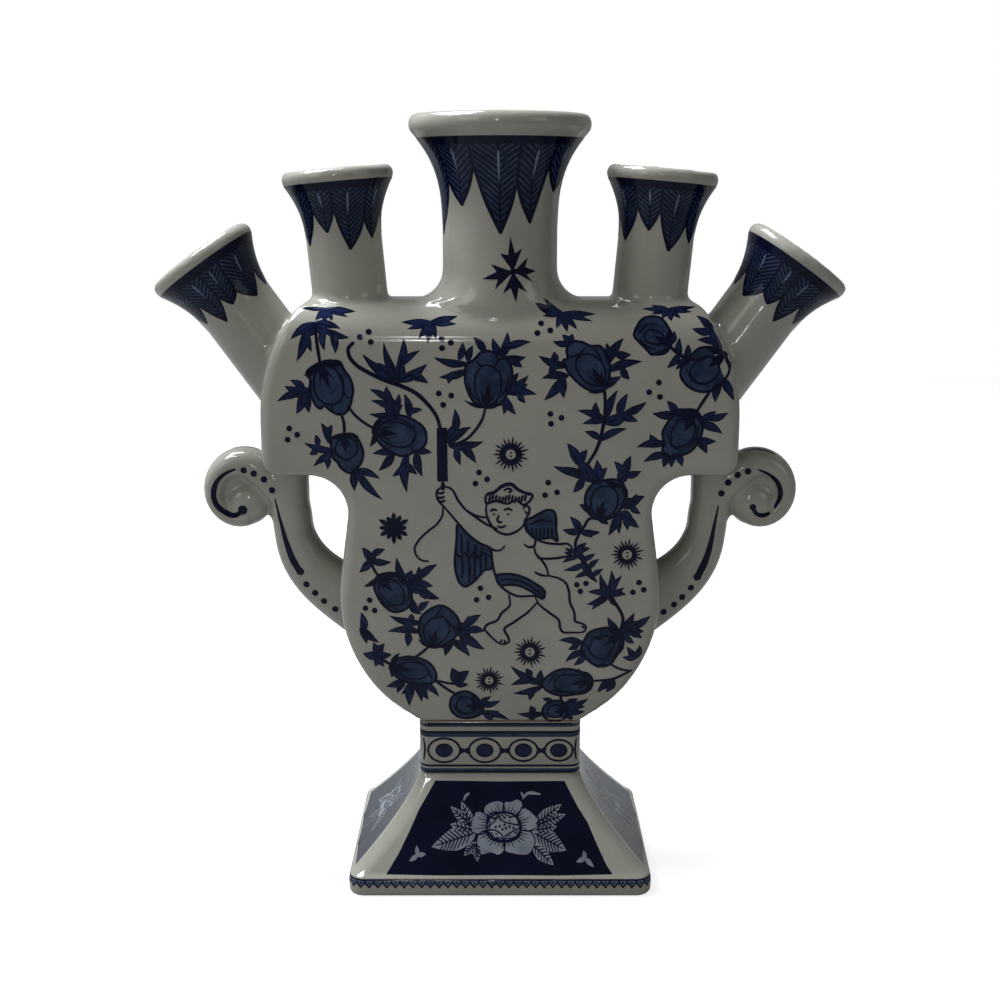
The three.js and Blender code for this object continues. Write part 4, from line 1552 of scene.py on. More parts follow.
LEAVES = (
    # Crown over the hanging bud
    (-54.5, 175.5, -61.7, 170.8, 2.2), (-57.5, 173, -60.2, 164.2, 2), (-56.5, 172, -55.6, 167, 1.4),
    (-54.5, 175.5, -47, 174, 2), (-51.5, 173.5, -44.3, 171.3, 1.8),
    (-49.5, 172.5, -48.6, 166.5, 1.8), (-52, 174, -51.8, 167.3, 1.6),
    (-54.5, 175, -58.5, 171.6, 2.6), (-54, 175, -50, 172.4, 2.4),
    # Left of the hanging bud
    (-56.5, 155.5, -61.5, 154.2, 3), (-58, 156, -62.2, 158.7, 1.8), (-58, 155, -64, 157, 2),
    (-59, 154.8, -66.3, 152.3, 1.8), (-58.5, 154.5, -60.7, 148.5, 2.2),
    (-57, 154, -56.8, 148.8, 1.8),
    # On the bow
    (-30, 158.5, -40.8, 166.6, 2.4), (-33.5, 162, -39, 162.8, 1.6), (-30, 158.5, -34.3, 170, 2),
    (-29.8, 162, -28.5, 171.3, 2), (-29.3, 163, -23.5, 167.5, 1.5), (-30, 158.5, -21.5, 163.6, 2.4),
    (-27, 160.3, -21.2, 157.7, 2), (-30, 158.3, -30, 166, 2.4),
    # Over the sideways bud
    (-31, 147.6, -32.8, 154.6, 3.6), (-33, 152.5, -38.8, 156, 1.6), (-32.5, 152.5, -33.8, 157, 1.7),
    (-32, 150, -38.5, 152.6, 1.5), (-31.5, 148.5, -39, 148.6, 1.5), (-31, 150.5, -30, 154.7, 1.4),
    (-30.6, 149, -28.8, 151.6, 0.8), (-27, 147.6, -28.5, 154.7, 1.9),
    (-27, 149, -23, 149.9, 1.3),
    # Under the sideways bud
    (-32, 136.8, -38.2, 136.5, 1.7), (-32, 136.8, -36.5, 131.3, 2.1), (-28, 136, -28, 124.5, 2.4),
    (-28, 133.6, -32.5, 129.6, 1.7), (-28, 133.6, -24.8, 130.2, 1.7), (-25, 137, -20.4, 136.9, 1.6),
    (-25, 137, -23.3, 129.4, 2.1),
    # Left of the small hanging bud
    (-50, 137.5, -58.8, 140, 1.7), (-54.5, 139, -55.2, 142.4, 1.4), (-54.5, 138, -57.2, 136.3, 1.5),
    (-51, 140, -53.5, 146, 1.8), (-51.5, 141.5, -50, 145.4, 1.6), (-50, 136.5, -56, 132.6, 1.7),
    (-52, 136, -51.8, 131.8, 1.5),
    # Under it
    (-43.2, 131.5, -43.8, 125, 2.1), (-43.2, 131.5, -36, 128.8, 1.8), (-43, 131.5, -35.3, 122.3, 2),
    # Round the upright bud
    (-10, 163.5, -19.7, 165.5, 1.9), (-12, 165, -11, 170, 1.7), (-9.5, 164.5, -8, 169, 1.7),
    (-4.5, 167, -8, 171.5, 1.8), (-10, 161.5, -18.2, 159.6, 1.9), (-14, 161, -15.3, 157.5, 1.5),
    (0.2, 166, -2.2, 171.3, 1.8), (0.5, 165.5, 2.2, 173, 2.1), (1.6, 168, 9.2, 170, 1.8),
    (1.4, 165.2, 7.8, 165.6, 1.8), (3.5, 164, 6.7, 162.5, 1.5), (2, 155.5, 8.5, 160.2, 1.9),
    (3.5, 157.5, 5.6, 161, 1.4), (5, 156.5, 8.3, 157.6, 1.4), (2, 155, 11, 154.4, 2.2),
    (5.5, 154.8, 7.6, 151.8, 1.5), (1.6, 153.5, 1, 148.3, 1.6), (1.6, 153.5, 4.8, 148.3, 1.7),
    # Right of the bow's grip
    (-15, 139.5, -13.5, 145.8, 2.3), (-13.6, 143, -13.5, 150.3, 1.9), (-15, 140, -8.5, 144.7, 2.1),
    (-15, 139, -4.8, 140.3, 2.3), (-11.5, 138.5, -7.2, 133.6, 1.9), (-13, 138.5, -11.8, 133, 1.7),
    # Left of the leaning bud
    (19.5, 162.8, 11.3, 166, 2.1), (16, 164, 16, 167.2, 1.8), (16.5, 163.8, 14.2, 160.8, 1.8),
    (20, 160, 12.3, 159.2, 1.9), (18.5, 159.4, 13, 152.6, 2.3), (19, 159, 19, 153.2, 1.9),
    (20.4, 169.4, 15.5, 170.2, 1.5), (20.5, 169.6, 18.3, 172.2, 1.6), (21, 169.6, 21.3, 172.5, 1.6),
    # Right of it
    (32, 164, 31.3, 169.8, 2), (32, 164, 36.5, 171.2, 2.3), (34, 166.4, 38.8, 166.3, 2),
    (32, 161.5, 42.2, 164.2, 2.2), (36, 162.2, 38.4, 158.8, 1.8), (31.5, 156.5, 36, 159.8, 1.8),
    # Along its stem
    (31.4, 146.5, 23, 149.6, 1.9), (29, 147.6, 28.5, 152.3, 1.8), (31.2, 146.4, 24.5, 145.5, 1.6),
    (31.5, 147, 35, 155.8, 2.1), (31.5, 146, 38.6, 148.9, 3), (35.4, 148, 38, 154.8, 2.1),
    (37, 148.6, 43.6, 152.3, 1.9), (36, 147.5, 41.2, 146.2, 1.8), (30, 141, 25.2, 143.3, 1.6),
    (30.2, 140.8, 38, 144.2, 1.8),
    # Right end of the shoulder
    (50.5, 169.5, 51.3, 173.3, 1.5), (53, 166, 53, 171.3, 1.6), (55, 165.4, 55.4, 169.5, 1.5),
    (53, 166.4, 49.3, 162.3, 1.7), (56, 165.2, 52, 161.7, 1.8), (64.8, 167.6, 62.2, 175, 2.2),
    (62.6, 173, 58, 178.3, 2), (62.5, 173, 56.5, 174, 1.9), (64, 169.6, 58, 170.6, 1.7),
    (65.3, 166.5, 64, 171.8, 1.7), (66, 159, 69.3, 156, 1.8), (65.6, 158.6, 69.5, 152.5, 2.1),
    (65, 158, 64, 152, 2.1),
    # Round the bud below it
    (52.5, 148.5, 45.3, 148.8, 2.1), (52.5, 148.5, 49.6, 152.6, 1.9), (60, 145.6, 64.5, 149.4, 1.9),
    (62.4, 147, 68, 149, 1.7), (60, 145.6, 66.5, 142.6, 2.1), (49.4, 139.5, 40.8, 138.5, 2.1),
    (47, 139.4, 44.8, 142.5, 1.8), (50, 136.4, 43, 134, 1.9), (49.8, 136.4, 49, 132.3, 1.8),
    (52, 136.4, 51.5, 132.3, 1.7), (53, 136.4, 54.7, 132.6, 1.7), (59, 141, 64.8, 140.4, 1.8),
    (59, 141, 62, 136.5, 2.1),
    # Over the waist's right bud
    (30, 127.8, 19.5, 130.2, 2.2), (25, 129, 22, 124.6, 2), (27.4, 128.6, 22.5, 135, 3),
    (25, 131, 16, 132.8, 2), (23.4, 133.6, 20, 139.8, 2.4), (23.8, 133.6, 26.2, 137.8, 2.2),
    (29, 128.4, 29, 134.8, 2.3), (29.5, 128, 32.2, 132.4, 1.9), (29.5, 130, 25.5, 131.3, 1.5),
    (36, 128, 38.6, 131.4, 3), (37.4, 129.8, 34.2, 134.2, 2), (37.8, 130.4, 39.3, 136, 2),
    (37.6, 129.8, 42.5, 131.3, 1.8), (36.8, 120.6, 42, 121.4, 3), (39.6, 121, 41.3, 124.3, 1.8),
    (40, 121.4, 43.7, 123.5, 1.7), (39.4, 120.6, 42.6, 118, 1.5), (36, 117.8, 40.4, 116.6, 2.6),
    (38.8, 117, 42.2, 113.7, 1.8), (37.6, 116.8, 38.7, 112.8, 1.5), (36.2, 117.4, 36.3, 111.7, 1.6),
    (35.2, 117.4, 32.8, 111.2, 1.8), (27.5, 118.5, 23.8, 121, 1.6), (30, 116.2, 33, 114.7, 1.2),
    # Star leaf and feather leaf on the right of the waist
    (24.5, 112.5, 21, 117.3, 1.8), (24.5, 112.5, 18.8, 113.2, 1.7), (24.5, 112.5, 30.5, 112.4, 1.6),
    (24.5, 112.5, 28.2, 110.6, 1.4), (23, 107, 26.3, 109.2, 1.3), (23.6, 106, 27.6, 107.3, 1.3),
    (25, 103.8, 29, 105.7, 1.3), (27, 100.8, 30.3, 104, 1.3), (24.4, 105, 19, 102.7, 1.3),
    (26, 102.6, 19.3, 100.4, 1.4), (23, 106.7, 20, 105.3, 1.2), (28.2, 98.4, 31.6, 100.8, 1.2),
    (27.6, 99.6, 22.8, 97.9, 1.2), (22.4, 106.7, 26.2, 102.2, 1.7), (25.2, 103.6, 30, 96.3, 1.9),
    # Star plant below
    (33.5, 92.5, 30.5, 99.5, 1.7), (33.5, 92.5, 34, 100.5, 1.8), (33.5, 92.5, 37.3, 98.7, 1.7),
    (33.5, 92.5, 38, 95, 1.5), (33.5, 92.5, 38.8, 92.7, 1.5), (33.5, 92.5, 26.7, 93.5, 1.6),
    (33.5, 92.5, 26.5, 89.5, 1.8), (33.5, 92.5, 28.2, 87.7, 1.8), (33.5, 92.5, 30.4, 96, 1.7),
    (33.5, 92.5, 36.4, 88.6, 1.4),
    # Round the belly's right bud
    (36.4, 81, 33, 85.6, 1.7), (37, 81, 41.3, 87, 1.9), (37.6, 80, 43, 84, 4), (41, 82.6, 46.2, 85.9, 1.8),
    (41, 82, 44.9, 83.2, 1.4), (40.6, 81.4, 44.4, 81, 1.5), (39.6, 80.6, 44, 78.6, 1.6),
    (38.6, 79.4, 41.5, 77, 1.5), (42.3, 72.5, 39.2, 76, 1.6), (42.3, 72.5, 43.2, 76.5, 1.6),
    (42.3, 72.5, 37.8, 72.6, 1.5), (25.6, 77, 18, 78, 1.7), (24.4, 77, 21, 75, 1.5),
    (26, 74.6, 20.2, 71, 1.8), (26.4, 73.4, 22.7, 69.8, 1.6), (35.4, 65.3, 30.3, 60.7, 2.1),
    (35, 65, 33, 60.8, 1.8), (35, 65, 35.5, 62, 1.6),
    # Round the lower buds
    (13, 63.8, 3.2, 69.8, 2.1), (9.4, 66, 8, 69, 1.8), (12.6, 64.4, 12.8, 68.5, 1.8),
    (10.5, 65, 3.3, 63.3, 1.8), (13, 62.8, 3.9, 60.5, 1.8), (10.6, 62.2, 9.3, 57.8, 1.8),
    (13.8, 53, 5.3, 53, 1.9), (10.4, 53, 9.5, 56, 1.8), (10.4, 53, 9.4, 50, 1.8),
    (16.4, 57.2, 13.2, 58.6, 1.4), (20.5, 56, 24.6, 58.5, 1.7), (20.8, 55.4, 27.7, 58.6, 1.7),
    (21, 54.5, 26.8, 55.5, 1.7), (21, 54, 26.7, 53.7, 1.8), (20.8, 52.8, 22.9, 50.3, 1.6),
    # Over the waist's left bud
    (-39.5, 103.5, -42, 107.6, 1.9), (-39, 105, -34.9, 107, 1.7), (-39.5, 103.5, -33, 103, 1.8),
    (-39.5, 103.5, -43, 99.7, 2), (-39.4, 103.2, -38.6, 106.4, 1.8), (-28.6, 95.6, -31.5, 104.6, 2.1),
    (-28.5, 98, -26.8, 100.4, 1.6), (-28, 95.5, -23, 99, 3), (-25, 97.4, -24.8, 101.7, 1.7),
    (-25, 97.6, -19, 102.3, 1.9), (-25, 97, -20.4, 95.4, 1.7), (-27.5, 94.3, -21.6, 93.8, 2.6),
    (-24, 94, -18.4, 91.3, 1.9), (-24.6, 93.8, -22.7, 91, 1.5), (-27, 91, -25, 87.2, 1.4),
    (-25, 87.5, -21.6, 90.6, 1.7), (-27.8, 89, -24, 86.4, 1.3),
    # Round the belly's left bud
    (-24.6, 83.6, -34.2, 86, 1.9), (-27.5, 84.4, -27.2, 86.6, 1.5), (-26.5, 83.6, -31, 81.5, 1.7),
    (-25, 80.8, -34.8, 80.8, 1.9), (-28.5, 80.6, -28.6, 75.8, 1.8), (-13.6, 81.6, -8, 81.4, 4.4),
    (-10.4, 82.6, -5.8, 86.3, 2), (-10.6, 82.4, -9.6, 86, 1.7), (-10, 81.2, -4.6, 81, 2),
    (-11, 80, -4.6, 75, 2.2), (-12, 79.4, -10.7, 75.2, 1.8), (-14.8, 78, -17, 72.8, 2),
    (-14.8, 78, -9.3, 72.7, 2.1),
    # Left edge of the belly
    (-42, 80.8, -42.7, 87.2, 1.9), (-42.8, 82, -41.2, 76.8, 1.8), (-42.4, 82, -37.2, 77.2, 1.8),
    (-37.6, 73, -42.4, 73.8, 2.2), (-38, 73.3, -39.2, 77.4, 1.8), (-38, 73.3, -38.6, 69.4, 1.7),
    (-38, 73.3, -35.8, 69.4, 1.7), (-38, 73.3, -35.6, 77, 2), (-37.6, 73.4, -33.4, 73.4, 1.7),
    # Under the lowest left buds
    (-30, 65, -35.4, 63, 1.9), (-29.6, 65, -32, 60.5, 1.8), (-27.5, 64.4, -30.8, 60, 1.5),
    (-27, 64.4, -28.3, 55.7, 2.3), (-26.4, 64.4, -24.5, 57.3, 1.8), (-24.5, 64.2, -22.3, 58, 2.1),
    (-24, 64.2, -19, 59.2, 1.7), (-13.5, 64, -15, 69.2, 3), (-13.5, 64.2, -9.5, 68.2, 2.7),
    (-14, 64, -9.7, 63.6, 1.6), (-6.4, 56, -2.7, 59.4, 1.6), (-6, 56, 0.2, 57.8, 1.8),
    (-6.4, 53.4, 3, 50.5, 1.9), (-4.4, 53, -0.2, 53.9, 1.7), (-4.8, 52.8, -2.2, 50, 1.7),
)

SHOULDER_SPRIGS = (
    ((-51.5, 180.8), ((-59.6, 181.4, 1.8), (-42.8, 179.8, 3), (-45, 177.8, 1.8),
                      (-54.5, 176.6, 2.1), (-52, 175.8, 2.3), (-49.4, 176.4, 2))),
    ((-20.3, 175.8), ((-29.2, 176, 2.2), (-27.4, 173.8, 1.8), (-12.4, 178, 2.4),
                      (-12.8, 175.4, 1.9), (-24, 171, 2.1), (-21.4, 169.6, 2.2),
                      (-18.8, 171, 1.9))),
    ((18.5, 179), ((12.8, 182.2, 2), (10.2, 180.6, 2.4), (12.5, 178, 1.9), (28.4, 178.8, 2.4),
                   (27.4, 176.2, 1.9), (16.6, 174, 2.1), (19.8, 172.8, 2.2), (22.8, 173.6, 2))),
    ((50, 180.6), ((45, 182.6, 1.9), (42.2, 181, 2.2), (44.8, 178.8, 1.8), (58.2, 182, 2.3),
                   (57, 179.6, 1.8), (47.8, 177.2, 2), (50.6, 176.2, 2.1), (53.4, 177.2, 1.8))),
)

STEMS = (
    (((-54.5, 175.5), (-54, 170), (-53.2, 163.6)), 1.0),
    (((-47.3, 148.6), (-46.6, 146), (-46.5, 142)), 0.95),
    (((-45.3, 150.9), (-43, 148), (-40, 145.6), (-37.2, 144)), 0.85),
    (((-4.3, 150.4), (-5.3, 147), (-7.5, 143.5), (-10, 141), (-13, 139.6)), 0.85),
    (((31, 156), (31.3, 152), (31.4, 148), (30.8, 145), (30, 141), (28.5, 137), (26, 133)), 1.1),
    (((62.5, 155.6), (60.5, 152.5), (58.6, 149.4)), 0.95),
    (((50, 168.8), (53, 166.3), (57.4, 164.6)), 1.1),
    (((30, 116.4), (27, 116.5), (25.5, 114), (24.5, 112.5)), 0.9),
    (((24.4, 112.4), (22.9, 109), (23, 106.6)), 0.9),
    (((33.5, 92.5), (36, 89), (37.8, 85), (37, 81)), 1.0),
    (((34, 70.4), (37, 68.8), (40.5, 68)), 0.75),
    (((40.8, 68.2), (35, 65.5), (28.6, 64.7)), 0.8),
    (((19.4, 56.8), (18.8, 59.8)), 0.9),
    (((-39.5, 103.5), (-38.6, 101), (-37, 98.2)), 0.85),
    (((-22, 76), (-24, 74.2), (-26.4, 72.4)), 0.85),
    (((-38, 73.3), (-36, 71.5), (-33.4, 70)), 0.9),
    (((-19.8, 65), (-16, 64), (-12, 63.7)), 0.75),
    (((-20, 64.8), (-16.5, 62), (-13.6, 60)), 0.9),
)

BOW = (
    (((-43.2, 169.8), (-44.8, 168), (-44.6, 166), (-42.5, 163.2), (-39, 161), (-34, 158.6),
      (-29.5, 157), (-25, 154.8), (-21.5, 151.5), (-19, 148), (-17.6, 143.6)), 1.25),
    (((-17.2, 127.6), (-17.2, 125.6)), 1.3),
    (((-17.2, 120.3), (-17.5, 117.5), (-19, 115), (-22, 112.5), (-24.5, 110), (-26, 107),
      (-25.3, 104.8), (-23.8, 103.5), (-21.8, 103.2)), 0.7),
)

GRIP = ((-18.9, 144.4), (-15.8, 144.4), (-15.7, 128), (-18.9, 128))

# Suns with rays: place, radius of the pale middle or 0, and radius of the disc
SUNS = (
    (3.2, 136.3, 1.5, 3.4), (38.7, 105.3, 1.5, 3), (9.2, 74.2, 1.5, 3), (-3.4, 64.9, 1.3, 2.6),
    (-32.2, 113.7, 0.0, 2.9),
)

DOTS = (
    (-62.9, 144.2), (-60.6, 142.3), (-63.5, 140.8), (-38.7, 173), (-41.3, 171.4), (-38.1, 170),
    (-17.2, 170.8), (-14.5, 169.8), (-17.1, 168.2), (-18.2, 154.7), (-14.5, 154.1),
    (-16.9, 151.3), (12.1, 175.6), (11, 172.6), (14.8, 173.4), (15, 148.6), (18.3, 147.4),
    (15.2, 145.6), (47.1, 158), (44.3, 155.1), (47.5, 153.7), (-6.3, 130.8), (-3.9, 128.7),
    (-7.4, 127.4), (14.5, 127.7), (17.2, 124.7), (13.6, 123.8), (23.5, 95.8), (26.3, 96.2),
    (24.6, 93.7), (42.5, 96.5), (44, 94.2), (40.7, 93.4), (-6, 94.7), (-3.5, 91.8), (-7.2, 91),
    (-40, 90.9), (-41.3, 88.3), (-38.5, 87.6),
)


@dataclass
class WingedChild:
    """The winged child that draws the bow, in plain outline, with a sash across the hips."""

    wash: Brush
    line: Brush
    width: float = 0.78

    def draw(self, *strokes: Points) -> None:
        """Draw soft strokes of one width."""
        for stroke in strokes:
            self.line.stroke(stroke, self.width, 0.7, 0.7)

    def paint(self) -> None:
        """Paint wings, arms, head, body, sash and legs."""
        self.wings()
        self.arms()
        self.head()
        self.trunk()
        self.legs()

    def wings(self) -> None:
        """Paint both wings with their feathers."""
        near = ((-12.7, 114.8), (-10, 111.8), (-6, 108.8), (-3, 107.3), (-2.5, 104), (-2.3, 101),
                (-4.5, 100.5), (-7, 97.8), (-9, 96), (-10.8, 95.2), (-12, 96), (-13.3, 99),
                (-13.8, 103), (-13.5, 106.5), (-13.2, 110))
        far = ((8, 116), (10, 117), (12.5, 118.5), (14.5, 119.3), (16.3, 118.8), (17, 116.5),
               (17, 113), (17.3, 109.5), (16, 110.5), (13, 110.3), (10.5, 110.5), (8.3, 113))
        for wing in (near, far):
            self.wash.fill(wing)
            self.line.outline(wing, self.width)
        self.draw(((-13.4, 105.6), (-12, 104.6), (-10.8, 106), (-9.4, 104.4), (-8, 105.8),
                   (-6.6, 104.4), (-5, 105.6), (-2.8, 104.6)))
        for x, low, high in ((-11.6, 98, 104.6), (-9.4, 96.6, 104.4), (-7.8, 98, 105.6),
                             (-6, 99.4, 104.4), (-4.4, 101, 105.2), (-11.8, 106, 111.6),
                             (-9.8, 105.4, 110), (-7.6, 106, 108.6), (-5.6, 105.4, 107.4)):
            self.draw(((x, low), (x + 0.15, (low + high) / 2), (x, high)))
        for x in (9.6, 10.8, 12, 13.2, 14.4, 15.6):
            self.draw(((x, 110.7), (x + 0.2, 112), (x + 0.1, 113.6)))
        self.draw(((9, 114.6), (12, 116), (15.8, 115.6)))

    def arms(self) -> None:
        """Paint the arm that holds the bow and the arm stretched out behind."""
        self.draw(
            ((-17, 126.5), (-15, 126), (-12.5, 122), (-10, 119), (-7, 117.4), (-3.4, 116.8)),
            ((-16.7, 120), (-13, 115.5), (-9.5, 111.5), (-6, 108.8), (-3.5, 107.7), (-1.5, 106.6),
             (0.3, 106.8), (1.4, 108)),
            ((-9.5, 118.5), (-6.5, 116.4), (-3.8, 114.6), (-0.8, 113.4)),
            ((-17, 126.5), (-18.8, 125.4), (-19.1, 123.4), (-18.1, 121.5), (-16.7, 120)),
            ((-18.9, 124.6), (-17.6, 124.4), (-16.8, 124.8)),
            ((-19, 123.2), (-17.6, 123), (-16.8, 123.4)),
            ((-18.5, 121.9), (-17.4, 121.8), (-16.6, 122.2)),
            ((10.5, 110.2), (14, 109), (18, 108.6), (20.8, 108.6), (22, 107.4)),
            ((11.5, 104.2), (15, 104), (19, 104.5), (21, 105), (21.8, 106)),
            ((20, 107.2), (21, 106.8), (21.9, 107.1)), ((19.8, 106), (20.8, 105.8), (21.6, 106.2)),
        )

    def head(self) -> None:
        """Paint a plain round head that looks down along the bow arm, with short curls."""
        self.draw(
            ((-4, 121.6), (-4.2, 118.6), (-3.2, 115.4), (-0.8, 112.6), (2.2, 111.6), (5, 112.6),
             (7, 114.4), (7.6, 116.4)),
            ((7, 119.6), (7.8, 120.6), (8.8, 120), (8.7, 118.2), (7.8, 116.6)),
            ((7.6, 118.8), (8.1, 118.2)),
            ((7.4, 114.6), (7.9, 113.4), (8.2, 112.2)),
            ((-2.9, 118.9), (-1.9, 119.4), (-0.9, 119.1)), ((1.2, 119.2), (2.4, 119.7), (3.7, 119.1)),
            ((-0.3, 117.6), (-0.8, 116), (-0.1, 115.4), (0.6, 115.6)),
            ((-0.7, 114.2), (0.4, 113.8), (1.7, 114.4)),
        )
        self.line.dot((-1.8, 117.9), 0.42, 0.8)
        self.line.dot((2.5, 117.9), 0.42, 0.8)
        hair = ((-4.2, 121.4), (-4, 124), (-1.6, 124.9), (0.6, 126.8), (3.4, 127.4), (5.6, 125.6),
                (7.6, 124.6), (9.8, 123.9), (8.6, 121.6), (7, 120.8), (5.4, 122.2), (2, 121.2),
                (-1, 122))
        self.line.outline(hair, self.width)
        for i in range(12):
            x = -3.3 + i * 0.98
            low = 121.7 + 0.35 * math.sin(i * 1.3)
            self.draw(((x, low), (x + 0.15, low + 1.1), (x + 0.4, low + 1.9)))
        self.draw(((-3.6, 123.9), (-1.6, 124.6), (0.4, 126.2), (3.2, 127), (5.4, 125.4), (9, 123.8)),
                  ((1.2, 125.2), (2.4, 125.9), (3.6, 125.2), (2.6, 124.6)))

    def trunk(self) -> None:
        """Paint chest, back and the sash."""
        self.draw(
            ((-3, 107.4), (-2.3, 103), (-1.5, 99), (0, 95.7), (2.5, 93.5), (5, 92.3),
             (10.5, 92.2), (13.6, 91.7)),
            ((7.4, 108.5), (8.6, 107.7), (10.2, 107.9), (10.8, 109.5), (10.3, 111)),
            ((10.4, 107.5), (10.8, 105.8), (12.5, 103.8), (14, 101.5), (14.8, 98.7)),
            ((10.6, 99.8), (12.4, 98.9), (14.6, 98.6)),
        )
        sash = ((-1.2, 98.6), (2.4, 99.2), (6.6, 98.4), (10.4, 96.4), (13.8, 93.2), (13.2, 91.4),
                (10, 93.4), (6, 95.4), (2.6, 95.8), (0.2, 95.6))
        self.wash.fill(sash)
        self.line.outline(sash, self.width)
        self.draw(((0.4, 97.4), (4.4, 97.4), (8.6, 95.8), (12.6, 92.8)))

    def legs(self) -> None:
        """Paint both striding legs."""
        self.draw(
            ((14.8, 98.7), (18, 97.8), (20, 96.5), (21, 94), (21.5, 90), (22.8, 87), (23.3, 84),
             (25, 83.5), (26.4, 82.6), (26, 80.9), (24.5, 80.5)),
            ((24.5, 80.5), (22, 80.5), (19.2, 80.8), (18.5, 82), (18.3, 84), (15, 87),
             (11.8, 89.8), (10.8, 91.9)),
            ((11.3, 90), (8.5, 87), (4.5, 84), (1.3, 81.3), (2.3, 79.5), (2.8, 77.6),
             (1, 76.7), (-1, 77.5)),
            ((-1, 77.5), (-3.5, 80), (-4.8, 82), (-4, 83), (-0.8, 84.5), (0.3, 86.5),
             (3, 89.3), (2.7, 92.8)),
            ((25.2, 82.6), (25.9, 82)), ((0.2, 77.4), (0.6, 78.2)), ((1.3, 77.2), (1.6, 78)),
        )


def paint_sun(line: Brush, centre: Point, inner: float, outer: float) -> None:
    """Paint a small sun with rays; with a hole in it, it gets two dots for eyes.

    Args:
        line: Brush for dark lines.
        centre: Its middle.
        inner: Radius of its pale middle, or 0.
        outer: Radius of its dark disc.
    """
    if inner > 0:
        line.ring(centre, inner, outer)
        for rise in (-0.55, 0.55):
            line.dot((centre[0] + 0.05, centre[1] + rise), 0.34)
        rays, width = 22, 0.62
    else:
        line.dot(centre, outer)
        rays, width = 12, 1.5
    for i in range(rays):
        angle = math.tau * i / rays
        reach = outer + (1.1, 2.3, 1.6, 2.0)[i % 4]
        way = Vector((math.cos(angle), math.sin(angle)))
        spot = Vector(centre)
        line.blade(tuple(spot + way * (outer - 0.5)), tuple(spot + way * reach), width)


def paint_garden(drawing: Drawing) -> None:
    """Paint the garden with the winged child that covers one face of the body.

    Args:
        drawing: The drawing that takes its marks.
    """
    edge, leaf, line = drawing.edge, drawing.leaf, drawing.line
    for bud in BUDS:
        bud.paint(drawing)
    for i, (x, z, tip_x, tip_z, width) in enumerate(LEAVES):
        bow = 0.07 if i % 2 else -0.07
        edge.blade((x, z), (tip_x, tip_z), width * 1.12 + 0.4, bow)
        near_tip = (x * 0.1 + tip_x * 0.9, z * 0.1 + tip_z * 0.9)
        leaf.blade((x, z), near_tip, width * 1.1 - 0.3, bow * 0.95)
        if width >= 1.8:
            rib_end = (x * 0.4 + tip_x * 0.6, z * 0.4 + tip_z * 0.6)
            line.blade((x, z), rib_end, 0.55, bow * 0.6)
    for (x, z), tips in SHOULDER_SPRIGS:
        for tip_x, tip_z, width in tips:
            edge.blade((x, z), (tip_x, tip_z), width + 0.2)
            leaf.blade((x, z), (x * 0.1 + tip_x * 0.9, z * 0.1 + tip_z * 0.9), width - 0.5)
    for points, width in (*STEMS, *BOW):
        line.stroke(points, width, 0.8, 0.8)
    line.fill(GRIP, soft=False)
    for x, z, inner, outer in SUNS:
        paint_sun(line, (x, z), inner, outer)
    for dot in DOTS:
        line.dot(dot, 0.92)
    WingedChild(drawing.petal, line).paint()


